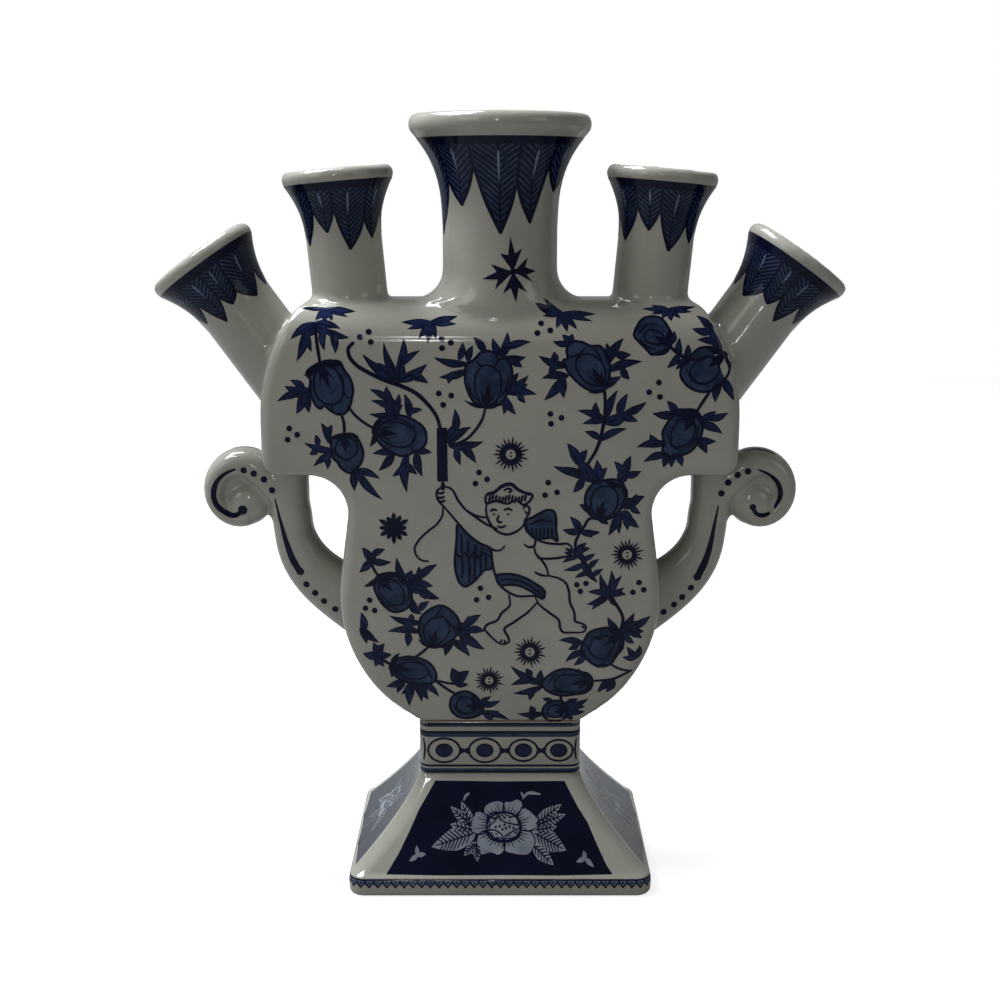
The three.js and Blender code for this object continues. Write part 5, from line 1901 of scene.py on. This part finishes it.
@dataclass(frozen=True)
class LeafCollar:
    """The ring of hanging leaves under a spout's lip.

    Its edge is a row of notches and tips by turns, all round the spout, each as an angle in
    degrees and a height on the axis. Hand is -1 where it runs the other way round.
    """

    part: Part
    trumpet: Trumpet
    line_low: float
    line_high: float
    edge: Points
    rib: float
    hand: int = 1

    def paint(self, drawing: Drawing) -> None:
        """Paint the line over the leaves, and each leaf.

        Args:
            drawing: The drawing that takes its marks.
        """
        half = math.pi * self.trumpet.neck
        drawing.line.fill(strip(-half, half, self.line_low, self.line_high, 24), soft=False)
        first, low = self.edge[0]
        edge = (*self.edge, (first + 360, low))
        for i in range(0, len(self.edge), 2):
            back = 360 if edge[i][0] >= 180 else 0
            points = [(math.radians(self.hand * (degrees - back)) * self.trumpet.neck, height)
                      for degrees, height in edge[i:i + 3]]
            self.leaf(drawing, *points[::self.hand])

    def leaf(self, drawing: Drawing, left: Point, tip: Point, right: Point) -> None:
        """Paint one hanging leaf with its edges, rib and barbs.

        Args:
            drawing: The drawing that takes its marks.
            left: The notch on its left.
            tip: Its tip.
            right: The notch on its right.
        """
        line, top = drawing.line, self.line_low + 0.3
        edges = []
        for notch in (left, right):
            bulge = 0.12 * (notch[0] - tip[0])
            knee = ((notch[0] + tip[0]) / 2 + bulge, (notch[1] + tip[1]) / 2)
            edges.append(((notch[0], top), notch, knee, tip))
        drawing.petal.fill([*edges[0], *reversed(edges[1][:3])], soft=False)
        for edge in edges:
            line.stroke(edge[1:], self.rib * 1.1, 0.8, 0.9)
            line.stroke(edge[:2], self.rib * 0.8, 1.0, 1.0, soft=False)
        centre = ((left[0] + right[0]) / 2 * 0.5 + tip[0] * 0.5, top)
        line.stroke((centre, tip), self.rib * 0.7, 0.8, 0.9, soft=False)
        length = top - tip[1]
        drawing.pale_blue.blade((centre[0] * 0.92 + tip[0] * 0.08, top - length * 0.08),
                                (centre[0] * 0.55 + tip[0] * 0.45, top - length * 0.45),
                                self.rib * 0.7)
        barbs = max(5, round(length / (self.rib * 1.8)))
        for i in range(barbs):
            share = (i + 0.4) / barbs
            root = (blend(centre[0], tip[0], share), top - length * share)
            for notch in (left, right):
                wide = notch[0] - root[0]
                # The barb's end and the leaf's width there settle within a few turns
                for _ in range(3):
                    height = root[1] + abs(wide) * 0.9
                    drop = max(notch[1] - height, 0.0) / (notch[1] - tip[1])
                    wide = (notch[0] - tip[0]) * (1 - drop) ** 0.8 + tip[0] - root[0]
                if abs(wide) > self.rib * 0.8:
                    rise = min(abs(wide) * 0.9, top - root[1] - 0.1)
                    reach = math.copysign(rise / 0.9, wide)
                    line.stroke((root, (root[0] + reach, root[1] + rise)), self.rib * 0.75,
                                0.9, 0.8, soft=False)


# Edges of the collars: notch and tip by turns, each as degrees round the spout and a height
CENTRE_EDGE = (
    (-97, 26.5), (-75, 10), (-54, 26), (-39, 18.5), (-23, 29.5), (0.5, 10.5), (15.5, 25),
    (30, 13.5), (46, 30), (60, 22.5), (78, 28), (96, 11), (114, 27), (132, 17), (150, 28),
    (165, 11), (180, 27), (202, 18), (223, 28), (243, 12),
)
OUTER_EDGE = (
    (-108, 35), (-78, 30), (-66, 36), (-45, 28.5), (-22, 33), (-8, 30.5), (3, 35), (15, 27.5),
    (36, 36.5), (50, 30.5), (68, 35), (88, 28), (110, 36), (128, 31), (146, 35), (164, 28),
    (180, 36), (198, 31), (216, 35), (234, 28),
)
INNER_EDGE = (
    (-80, 25), (-58, 17), (-36, 27), (-18, 20.5), (-4, 27), (14, 15), (40, 23.5), (53, 17.8),
    (76, 26), (94, 19), (112, 26), (128, 16), (146, 26), (162, 20), (180, 26), (204, 16),
    (226, 26), (242, 20), (258, 26), (269, 18),
)
COLLARS = (
    LeafCollar(Part.CENTRE_SPOUT, CENTRE, 35.6, 37.8, CENTRE_EDGE, 0.95),
    LeafCollar(Part.OUTER_LEFT, OUTER_LEFT, 42.6, 45.1, OUTER_EDGE, 0.75, -1),
    LeafCollar(Part.OUTER_RIGHT, OUTER_RIGHT, 42.6, 45.1, OUTER_EDGE, 0.75),
    LeafCollar(Part.INNER_LEFT, INNER_LEFT, 32.6, 34.8, INNER_EDGE, 0.75),
    LeafCollar(Part.INNER_RIGHT, INNER_RIGHT, 32.6, 34.8, INNER_EDGE, 0.75),
)

# The small ornament on the middle neck: its middle and the three tips of each leaf, as
# degrees round the neck and a height
NECK_MIDDLE = (12.8, 190.3)

NECK_ORNAMENT = (
    ((0, 195.6), (9.8, 200.6), (21.6, 197)), ((27.8, 194.4), (37.4, 190.4), (33.2, 187.2)),
    ((-9, 192.6), (-17.2, 188.2), (-5, 185.2)), ((2.6, 184), (15.4, 181.4), (27, 184.2)),
)


def paint_neck_ornament(line: Brush) -> None:
    """Paint the four leaves of three lobes on the front of the middle neck.

    Args:
        line: Brush for dark lines.
    """
    middle, *tips = (Vector((math.radians(degrees) * CENTRE.neck, height - CENTRE.base[1]))
                     for degrees, height in (NECK_MIDDLE, *sum(NECK_ORNAMENT, ())))
    line.dot(tuple(middle), 1.1)
    for i in range(0, len(tips), 3):
        near, point, far = tips[i:i + 3]
        notches = [middle.lerp(point.lerp(lobe, 0.5), 0.62) for lobe in (near, far)]
        line.fill((middle, near, notches[0], point, notches[1], far), soft=False)


def paint_band(drawing: Drawing, half: float, ovals: Points) -> None:
    """Paint one face of the collar: washed lines above and below a row of ringed ovals.

    Args:
        drawing: The drawing that takes its marks.
        half: Half the width of the face.
        ovals: Where each oval stands, and its radius.
    """
    line, middle = drawing.line, 40.4
    for brush, heights in (
        (drawing.petal, ((48.3, 49.5), (44.9, 46.8), (33.1, 34.3))),
        (line, ((49.0, 49.6), (46.1, 46.9), (34.9, 35.6), (32.8, 33.5))),
    ):
        for low, high in heights:
            brush.fill(strip(-half - 0.35, half + 0.35, low, high, 1), soft=False)
    for x, radius in ovals:
        line.ring((x, middle), radius - 0.7, radius, 0.81)
        drawing.leaf.dot((x, middle), 2.6, 0.84)
        line.ring((x, middle), 2.2, 2.8, 0.84)
    for (before, left), (after, right) in zip(ovals, ovals[1:]):
        start, end = before + left - 0.4, after - right + 0.4
        waist = (start + end) / 2
        line.fill(((start, 39.1), (waist, 39.7), (end, 39.1), (end, 41.5), (waist, 40.9),
                   (start, 41.5)), soft=False)
    if len(ovals) > 2:
        for side in (-half, half):
            line.stroke(((side, 37), (math.copysign(23.8, side), 40.6), (side, 44.2)), 0.6)


def paint_veined_leaf(drawing: Drawing, base: Point, tip: Point, width: float) -> None:
    """Paint a reserved leaf with its rib and side veins.

    Args:
        drawing: The drawing that takes its marks.
        base: Where it starts.
        tip: Where it ends.
        width: Its width.
    """
    drawing.reserve.blade(base, tip, width)
    start, way = Vector(base), Vector(tip) - Vector(base)
    side = Vector((-way.y, way.x)).normalized()
    drawing.line.stroke((base, tuple(start + way * 0.88)), 0.5, 0.9, 0.6, soft=False)
    veins = max(4, round(way.length / 1.6))
    for i in range(veins):
        share = 0.06 + 0.74 * i / veins
        root = start + way * share
        reach = width * 0.43 * min(1.0, 0.7 + share) * (1 - max(share - 0.35, 0.0) * 1.1)
        for hand in (-1, 1):
            end = root + way.normalized() * reach * 0.9 + side * hand * reach
            drawing.line.stroke((tuple(root), tuple(end)), 0.48, 0.9, 0.7, soft=False)


# The reserved peony, from its middle: broad outer petals, curled inner ones and stamens
PEONY_OUTER = (
    ((-6.3, 3.8), (-5.9, 5.3), (-4, 6.3), (-1.2, 6.6), (-0.2, 6.2), (-0.2, 3.4), (-4.4, 2.4)),
    ((0.2, 6.3), (2.6, 6.5), (4, 7.1), (5.9, 5.9), (5.6, 4.8), (4, 2.8), (0.2, 3.4)),
    ((4.8, 3.8), (6.3, 4.9), (8.2, 4.1), (10.1, 2.6), (11.3, 1.6), (10.8, 0.2), (9.1, -0.8),
     (5.2, -0.6), (4.4, 2.2)),
    ((7.7, -1.1), (9.2, -2.2), (9.7, -3.8), (9.1, -5.7), (7.7, -7.2), (5.2, -7.4), (2.6, -7),
     (0.4, -6.4), (0.3, -3.2), (3.4, -2.8), (5, -1.2)),
    ((-0.1, -3.2), (-0.2, -6.6), (-1.6, -7.4), (-4, -6.8), (-7.2, -7.2), (-8.3, -5.7),
     (-8.5, -3.8), (-8.1, -2.3), (-4.8, -1.4), (-3.2, -2.8)),
    ((-8.5, -1.9), (-10, -1.3), (-10.8, 1), (-10.5, 2.2), (-9.2, 2.8), (-9, 3.6), (-7.3, 3.9),
     (-5.9, 3.3), (-4.6, 1.6), (-4.8, -1.2)),
)

PEONY_INNER = (
    ((-4.5, 3), (-2.1, 3.6), (-2.3, 2.1), (-4, 0.6), (-5.1, -0.2), (-5.3, 1.6)),
    ((-1.5, 3.2), (0.7, 3.7), (3.5, 2.7), (4.8, 0.5), (2.6, 0.7), (-0.2, 1.4), (-1.5, 2.3)),
    ((5.2, -0.7), (4.9, -2.2), (3, -3.5), (0.4, -3.7), (0.4, -2.6), (2.1, -1.6), (4.4, -0.6)),
    ((-5.1, -1), (-4, -0.8), (-1.6, -1.4), (-0.3, -2.6), (-0.6, -3.8), (-3, -3.5), (-4.8, -2.5)),
)

STAMENS = ((0.2, 0.5), (-1.3, 0.1), (0.7, -0.4), (1.8, 0), (-0.4, -0.7), (-2.5, -0.1), (3, -0.3))


def paint_peony(drawing: Drawing, centre: Point, scale: float) -> None:
    """Paint the reserved peony with its veined petals.

    Args:
        drawing: The drawing that takes its marks.
        centre: Its middle.
        scale: Its size as a share of the one on the front.
    """
    pale, line = drawing.reserve, drawing.line
    middle = Vector(centre)
    stroke = 0.42 * max(scale, 0.8)

    def placed(spots: Points) -> list[Vector]:
        """Put points of the flower in their place."""
        return [middle + Vector(spot) * scale for spot in spots]

    for petal in PEONY_OUTER:
        pale.fill(placed(petal))
        line.outline(placed(petal), stroke * 0.8)
    pale.dot(centre, 5.5 * scale, 0.71)
    count = 40 if scale > 0.8 else 26
    for i in range(count):
        angle = math.tau * (i + 0.5) / count
        way = Vector((math.cos(angle), math.sin(angle)))
        near = middle + Vector((way.x * 5.2, way.y * 3.7)) * scale
        far = middle + Vector((way.x * 10, way.y * 6.7)) * scale
        line.stroke((near, near.lerp(far, 0.45 + 0.13 * (i % 3))), stroke, 1.0, 0.35, soft=False)
    line.ring(centre, 5.05 * scale, 5.6 * scale, 0.71)
    for petal in PEONY_INNER:
        spots = placed(petal)
        line.outline(spots, stroke)
        heart = sum(spots, Vector((0, 0))) / len(spots)
        for spot in spots[::2]:
            line.stroke((heart.lerp(spot, 0.25), heart.lerp(spot, 0.75)), stroke * 0.8, 1.0, 0.5,
                        soft=False)
    for spot in placed(STAMENS):
        line.dot(tuple(spot), 0.4 * scale)


@dataclass(frozen=True)
class FootPanel:
    """A dark panel of the foot with a reserved flower, its leaves, curls and sprigs."""

    outline: Points
    leaves: tuple[tuple[Point, Point, float], ...]
    flower: Point
    scale: float
    curls: tuple[Points, ...] = ()
    sprigs: tuple[tuple[Point, Points], ...] = ()

    def paint(self, drawing: Drawing) -> None:
        """Paint the panel.

        Args:
            drawing: The drawing that takes its marks.
        """
        drawing.panel.fill(self.outline, soft=False)
        for base, tip, width in self.leaves:
            paint_veined_leaf(drawing, base, tip, width)
        paint_peony(drawing, self.flower, self.scale)
        for curl in self.curls:
            drawing.reserve.stroke(curl, 0.75)
        for root, tips in self.sprigs:
            for tip in tips:
                drawing.reserve.blade(root, tip, 1.4)


FOOT_FRONT = FootPanel(
    ((-20.5, 31), (0, 30.8), (20.4, 30.9), (24.4, 24.5), (27.4, 20.5), (30.3, 14.5), (33, 9.4),
     (34.8, 7), (18, 6.7), (0, 6.8), (-18, 6.7), (-35.2, 7), (-31.4, 12.5), (-28.4, 18),
     (-25.3, 24)),
    (((-8.6, 17.6), (-21.3, 14.1), 6.0), ((-9, 19.6), (-12.2, 25.9), 3.2),
     ((-9.2, 19.8), (-15.6, 24.6), 3.0), ((-8.8, 18.6), (-15.6, 20), 3.2),
     ((-7.4, 15), (-7, 10.3), 3.0), ((-7.8, 15), (-11.2, 11.9), 2.6),
     ((11.4, 20.2), (19.4, 25.2), 3.6), ((11.6, 19.8), (20.6, 22.6), 3.2),
     ((11.4, 18.6), (17.8, 19.4), 3.2), ((11, 17.6), (20.6, 13.2), 5.8),
     ((10.6, 14.4), (16.6, 9.4), 3.8)),
    (1.2, 19.4), 1.0,
    (((-11.4, 26.1), (-10.9, 27.1), (-9.8, 27.9)), ((7.2, 26.6), (8.4, 27.7), (12.6, 27.7)),
     ((7.6, 26.8), (6.7, 28.1))),
    (((-25.6, 12), ((-26, 14.6), (-28.2, 10.4), (-23, 12.3))),
     ((26.4, 11.2), ((26, 13.2), (29.2, 8.8), (23.6, 10.2)))),
)

FOOT_SIDE = FootPanel(
    ((-12, 30.6), (0, 30.3), (12, 30.6), (15.6, 25.5), (19.6, 19.5), (23.4, 13.5), (27.4, 7.2),
     (11, 6.4), (0, 6.6), (-11, 6.4), (-27.4, 7.2), (-23.4, 13.5), (-19.6, 19.5), (-15.6, 25.5)),
    (((-4, 15.6), (-11.6, 11.4), 3.2), ((-4, 17), (-9.6, 22.4), 2.6),
     ((4, 15.6), (11.6, 11), 3.2), ((4, 18), (9.4, 23), 2.6), ((1, 12), (2.6, 8.2), 2.4),
     ((-1, 12), (-4.4, 8.6), 2.2), ((0, 22), (1.6, 27.6), 2.4)),
    (0, 17), 0.62,
)


def paint_rim(drawing: Drawing, around: float) -> None:
    """Paint the line, the wash and the zigzag that run round the foot's rim.

    Args:
        drawing: The drawing that takes its marks.
        around: Length of the rim all round.
    """
    line, high, low = drawing.line, 5.2, 3.2
    count = round(around / 2.7)
    pitch = around / count
    line.fill(strip(0, around, 5.4, 5.9, count * 2), soft=False)
    drawing.pale_blue.fill(strip(0, around, 3.9, 5.5, count * 2), soft=False)
    for i in range(count):
        start = i * pitch
        middle = start + pitch / 2
        line.stroke(((start, high), (middle, low)), 0.62, 0.9, 0.9, soft=False)
        line.stroke(((middle, low), (start + pitch, high)), 0.5, 0.9, 0.9, soft=False)
        line.dot((middle, 4.8), 0.36)


# Strokes on the handles: points, width, share of it at the start and end, and where it is full
HANDLE_LEFT = (
    (((-82, 129.3), (-85, 128), (-88, 125), (-89, 121.5), (-88.5, 118.5), (-86, 115.8),
      (-83, 114.5), (-80.6, 115.6)), 1.7, 0.4, 0.8, 0.4),
    (((-70, 120), (-68.5, 113), (-66.8, 106), (-65, 100.5), (-62.9, 96.6)), 2.5, 0.15, 0.8, 0.95),
)

HANDLE_RIGHT = (
    (((80, 129.2), (83.5, 127.5), (86.5, 124.5), (87.3, 121), (85.7, 116.8)), 1.35, 0.4, 0.4, 0.5),
    (((78.6, 117.3), (80, 115.1), (82, 114.5), (84, 115.2)), 1.3, 0.9, 0.7, 0.3),
    (((67.9, 117.8), (66.9, 112), (66.1, 107), (64.7, 101), (61.9, 94.4)), 2.6, 0.15, 0.8, 0.95),
)

# The same for the stroke on the top of the right volute, from above
HANDLE_TOP = ((76, -2), (79.2, -2.2), (82.4, -2.8), (85.2, -3.8))

HANDLE_DOTS = (
    (-79.3, 129), (-76.2, 128), (-73.1, 126.2), (-70.7, 122.8), (-61, 92.4), (-58.3, 89.6),
    (-55.6, 86.9), (-52.1, 84.3), (76.7, 128.7), (73.5, 127.6), (70.7, 125.2), (68.7, 121.8),
    (60.2, 91.3), (57.5, 88.2), (55, 85.7), (51.8, 83.3),
)

HANDLE_BLOTS = ((-80.2, 116.3, 1.5), (-62.8, 96.7, 1.3), (78.8, 117.2, 1.05), (62.1, 94.9, 1.3))


@dataclass
class Painting:
    """All the cobalt painting, laid on the finished pieces."""

    finishes: Finishes
    body: Body
    handles: tuple[ScrollHandle, ScrollHandle]
    collar: Collar
    foot: Foot
    films: int = 0

    def lay(self, name: str, drawing: Drawing, proud: dict[Coat, float], wrap: Wrap,
            tree: BVHTree, twin: str = "", grid: float = 1.6) -> None:
        """Lay the coats of one drawing, from the lowest up.

        Args:
            name: Name of the drawing.
            drawing: Its marks.
            proud: For each coat how far it stands out, in millimetres.
            wrap: How the drawing goes round the piece.
            tree: The surface it goes on.
            twin: Name of a copy on the other side, if there is one.
            grid: How far apart points stand inside the marks.
        """
        for coat, height in proud.items():
            film = Film(f"{name}_{coat.value}", getattr(drawing, coat.value), wrap, tree, height,
                        grid)
            film.build()
            self.finishes.put_on(film.piece, coat)
            self.films += 1
            LOG.info("%s: %d faces", film.name, len(film.piece.data.polygons))
            if twin:
                film.turned_copy(f"{twin}_{coat.value}")

    def build(self) -> None:
        """Paint body, spouts, collar, foot and handles."""
        on_body = tree_of(self.body.piece)
        garden = Drawing()
        paint_garden(garden)
        self.lay("garden_front", garden, {Coat.PETAL: 0.04, Coat.EDGE: 0.06, Coat.LEAF: 0.08,
                                          Coat.LINE: 0.1},
                 BodyWrap(self.body), on_body, "garden_back", 1.2)
        self.spouts(on_body)
        self.block()
        self.base()
        self.scrolls()

    def spouts(self, on_body: BVHTree) -> None:
        """Paint the leaf collars of all spouts, and the ornament on the middle neck.

        Args:
            on_body: The surface of the body with its spouts.
        """
        for collar in COLLARS:
            drawing = Drawing()
            collar.paint(drawing)
            if collar.part is Part.CENTRE_SPOUT:
                paint_neck_ornament(drawing.line)
            self.lay(f"{collar.part.value}_leaves", drawing,
                     {Coat.PETAL: 0.06, Coat.LINE: 0.09, Coat.PALE_BLUE: 0.12},
                     TrumpetWrap(collar.trumpet), on_body, grid=1.1)

    def block(self) -> None:
        """Paint the four faces of the collar."""
        on_collar = tree_of(self.collar.piece)
        for face, half, ovals in (
            (Face.FRONT, 24.2, ((-17.7, 5.4), (-4.8, 5.4), (7.4, 4.9), (18.6, 4.8))),
            (Face.RIGHT, 14.2, ((-6.2, 5.2), (6.2, 5.2))),
        ):
            drawing = Drawing()
            paint_band(drawing, half, ovals)
            self.lay(f"collar_{face.name.lower()}", drawing,
                     {Coat.PETAL: 0.05, Coat.LEAF: 0.05, Coat.LINE: 0.08}, Wrap(face), on_collar,
                     f"collar_{face.other().name.lower()}", 0.7)

    def base(self) -> None:
        """Paint the foot's panels and its rim."""
        on_foot = tree_of(self.foot.piece)
        for face, panel in ((Face.FRONT, FOOT_FRONT), (Face.RIGHT, FOOT_SIDE)):
            drawing = Drawing()
            panel.paint(drawing)
            self.lay(f"foot_{face.name.lower()}", drawing,
                     {Coat.PANEL: 0.05, Coat.RESERVE: 0.09, Coat.LINE: 0.12}, Wrap(face), on_foot,
                     f"foot_{face.other().name.lower()}")
        drawing, rim = Drawing(), RimWrap(self.foot)
        paint_rim(drawing, rim.around)
        self.lay("foot_rim", drawing, {Coat.PALE_BLUE: 0.05, Coat.LINE: 0.08}, rim, on_foot,
                 grid=0.7)

    def scrolls(self) -> None:
        """Paint strokes and dots on both handles."""
        proud = {Coat.LINE: 0.1}
        for handle, strokes in zip(self.handles, (HANDLE_LEFT, HANDLE_RIGHT)):
            line = Brush(0.6)
            for points, width, start, end, swell in strokes:
                line.stroke(points, width, start, end, swell=swell)
            for x, z, radius in (*((x, z, 1.05) for x, z in HANDLE_DOTS), *HANDLE_BLOTS):
                if x * handle.side > 0:
                    line.dot((x, z), radius)
            twin = Part.RIGHT_HANDLE if handle.side < 0 else Part.LEFT_HANDLE
            self.lay(f"{handle.parts[0].value}_strokes", Drawing(line), proud, Wrap(),
                     tree_of(handle.piece), f"{twin.value}_back_strokes", 0.8)
        top = Brush(0.6)
        top.stroke(HANDLE_TOP, 1.6, 0.5, 0.3)
        self.lay("right_handle_top_stroke", Drawing(top), proud, TopWrap(),
                 tree_of(self.handles[1].piece), "left_handle_top_stroke", 0.8)


# Studio


def seen_directly(tree: bpy.types.NodeTree, in_gloss: float) -> bpy.types.NodeSocket:
    """Tell rays that see the background, also in a reflection or through glass, from light.

    Args:
        tree: Nodes of a material or of the world.
        in_gloss: How much of the background's white shows in a glossy reflection.

    Returns:
        A socket that gives 1 for camera and transmission rays and in_gloss for glossy ones.
    """
    rays = add_node(tree, "LightPath")
    found = rays.outputs["Is Camera Ray"]
    for kind, most in (("Is Transmission Ray", 1.0), ("Is Glossy Ray", in_gloss)):
        share = add_node(tree, "Math", {1: most}, "MULTIPLY")
        tree.links.new(rays.outputs[kind], share.inputs[0])
        larger = add_node(tree, "Math", operation="MAXIMUM")
        tree.links.new(found, larger.inputs[0])
        tree.links.new(share.outputs[0], larger.inputs[1])
        found = larger.outputs[0]
    return found


@dataclass
class Studio:
    """Floor, lamps, world and camera."""

    eye: Point3 = (0.0, -0.4353, 0.2137)
    pitch_degrees: float = 12.38
    lens: float = 50.83
    floor_size: float = 2.4
    floor_glow: float = 0.83
    floor_grey: float = 0.25
    floor_roughness: float = 0.9
    room_light: float = 0.16
    white_in_gloss: float = 0.1
    target: Point3 = (0.0, 0.0, 0.13)

    def build(self) -> None:
        """Set up the studio."""
        bpy.context.scene.view_settings.view_transform = "Standard"
        self.camera()
        self.floor()
        self.lamps()
        self.world()

    def camera(self) -> None:
        """Put the camera where the photograph was taken from."""
        data = bpy.data.cameras.new("camera")
        data.lens = self.lens
        data.sensor_width = 36.0
        data.clip_start = 0.01
        camera = bpy.data.objects.new("camera", data)
        bpy.context.scene.collection.objects.link(camera)
        camera.location = self.eye
        camera.rotation_euler = (math.radians(90 - self.pitch_degrees), 0.0, 0.0)
        bpy.context.scene.camera = camera

    def floor(self) -> None:
        """Lay a plain pale floor that the camera sees as white, with the vase's shadow."""
        let_go()
        bpy.ops.mesh.primitive_plane_add(size=self.floor_size, location=(0, 0, 0))
        floor = bpy.context.object
        floor.name = "studio_floor"
        material = bpy.data.materials.new("studio_floor")
        material.use_nodes = True
        tree = material.node_tree
        link = tree.links.new
        shader = tree.nodes["Principled BSDF"]
        shader.inputs["Base Color"].default_value = (*[self.floor_grey] * 3, 1.0)
        shader.inputs["Roughness"].default_value = self.floor_roughness
        glow = add_node(tree, "Emission", {"Color": (1.0, 1.0, 1.0, 1.0)})
        strength = add_node(tree, "Math", {1: self.floor_glow}, "MULTIPLY")
        link(seen_directly(tree, self.white_in_gloss), strength.inputs[0])
        link(strength.outputs[0], glow.inputs["Strength"])
        mixed = add_node(tree, "AddShader")
        link(shader.outputs["BSDF"], mixed.inputs[0])
        link(glow.outputs["Emission"], mixed.inputs[1])
        link(mixed.outputs["Shader"], tree.nodes["Material Output"].inputs["Surface"])
        floor.data.materials.append(material)

    def lamp(self, name: str, spot: Point3, size: Point, power: float, colour: Point3) -> None:
        """Hang one soft rectangular lamp that points at the middle of the vase.

        Args:
            name: Name of the lamp.
            spot: Where it hangs, in metres.
            size: Its width and height in metres.
            power: Its power in watts.
            colour: Its colour.
        """
        data = bpy.data.lights.new(name, "AREA")
        data.color = colour
        data.shape = "RECTANGLE"
        data.size, data.size_y = size
        data.energy = power
        lamp = bpy.data.objects.new(name, data)
        bpy.context.scene.collection.objects.link(lamp)
        lamp.location = spot
        way = Vector(self.target) - Vector(spot)
        lamp.rotation_euler = way.to_track_quat("-Z", "Y").to_euler()

    def lamps(self) -> None:
        """Hang a broad lamp overhead, weak ones in front and two slits for crisp highlights."""
        warm = (1.0, 0.98, 0.93)
        self.lamp("top", (-0.45, 0.16, 1.05), (0.8, 0.5), 29.0, (0.9, 0.96, 1.0))
        self.lamp("front_left", (-1.0, -1.1, 0.7), (0.6, 0.6), 2.2, warm)
        self.lamp("front_right", (1.1, -1.0, 0.6), (0.6, 0.6), 1.4, warm)
        for name, height in (("slit_low", 0.29), ("slit_high", 0.47)):
            self.lamp(name, (-0.09, -1.3, height), (0.055, 0.03), 0.35, (1.0, 1.0, 1.0))

    def world(self) -> None:
        """Light the room evenly, and show the camera a white background."""
        world = bpy.data.worlds.new("room")
        bpy.context.scene.world = world
        world.use_nodes = True
        tree = world.node_tree
        background = tree.nodes["Background"]
        background.inputs["Color"].default_value = (1.0, 1.0, 1.0, 1.0)
        level = add_node(tree, "MapRange", {"To Min": self.room_light, "To Max": 1.0})
        tree.links.new(seen_directly(tree, self.white_in_gloss), level.inputs["Value"])
        tree.links.new(level.outputs["Result"], background.inputs["Strength"])


def carried_over(finishes: Finishes) -> None:
    """Give the CAD node that stays, the floor of the water chamber, its glaze.

    Args:
        finishes: The vase's finishes.
    """
    node = bpy.data.objects[Part.CHAMBER_FLOOR.value]
    for slot in node.material_slots:
        slot.material = finishes.made[Coat.GROUND]


def main() -> None:
    """Build and dress the vase, set up the studio and note the sizes."""
    logging.basicConfig(level=logging.INFO, format="%(name)s: %(message)s")
    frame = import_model()
    LOG.info("CAD nodes: %d", len(frame["nodes"]))
    Studio().build()
    finishes = Finishes()
    body = Body(finishes, (Part.BODY_FRONT, Part.BODY_BACK, Part.CENTRE_SPOUT, Part.INNER_LEFT,
                           Part.INNER_RIGHT, Part.OUTER_LEFT, Part.OUTER_RIGHT))
    handles = (ScrollHandle(finishes, (Part.LEFT_HANDLE,), -1),
               ScrollHandle(finishes, (Part.RIGHT_HANDLE,), 1))
    collar, foot = Collar(finishes, (Part.COLLAR,)), Foot(finishes, (Part.FOOT,))
    for assembly in (body, *handles, collar, foot):
        assembly.build()
        assembly.dress()
        LOG.info("%s: %d faces", assembly.piece.name, len(assembly.piece.data.polygons))
    painting = Painting(finishes, body, handles, collar, foot)
    painting.build()
    LOG.info("paint films: %d", painting.films)
    carried_over(finishes)


if __name__ == "__main__":
    main()
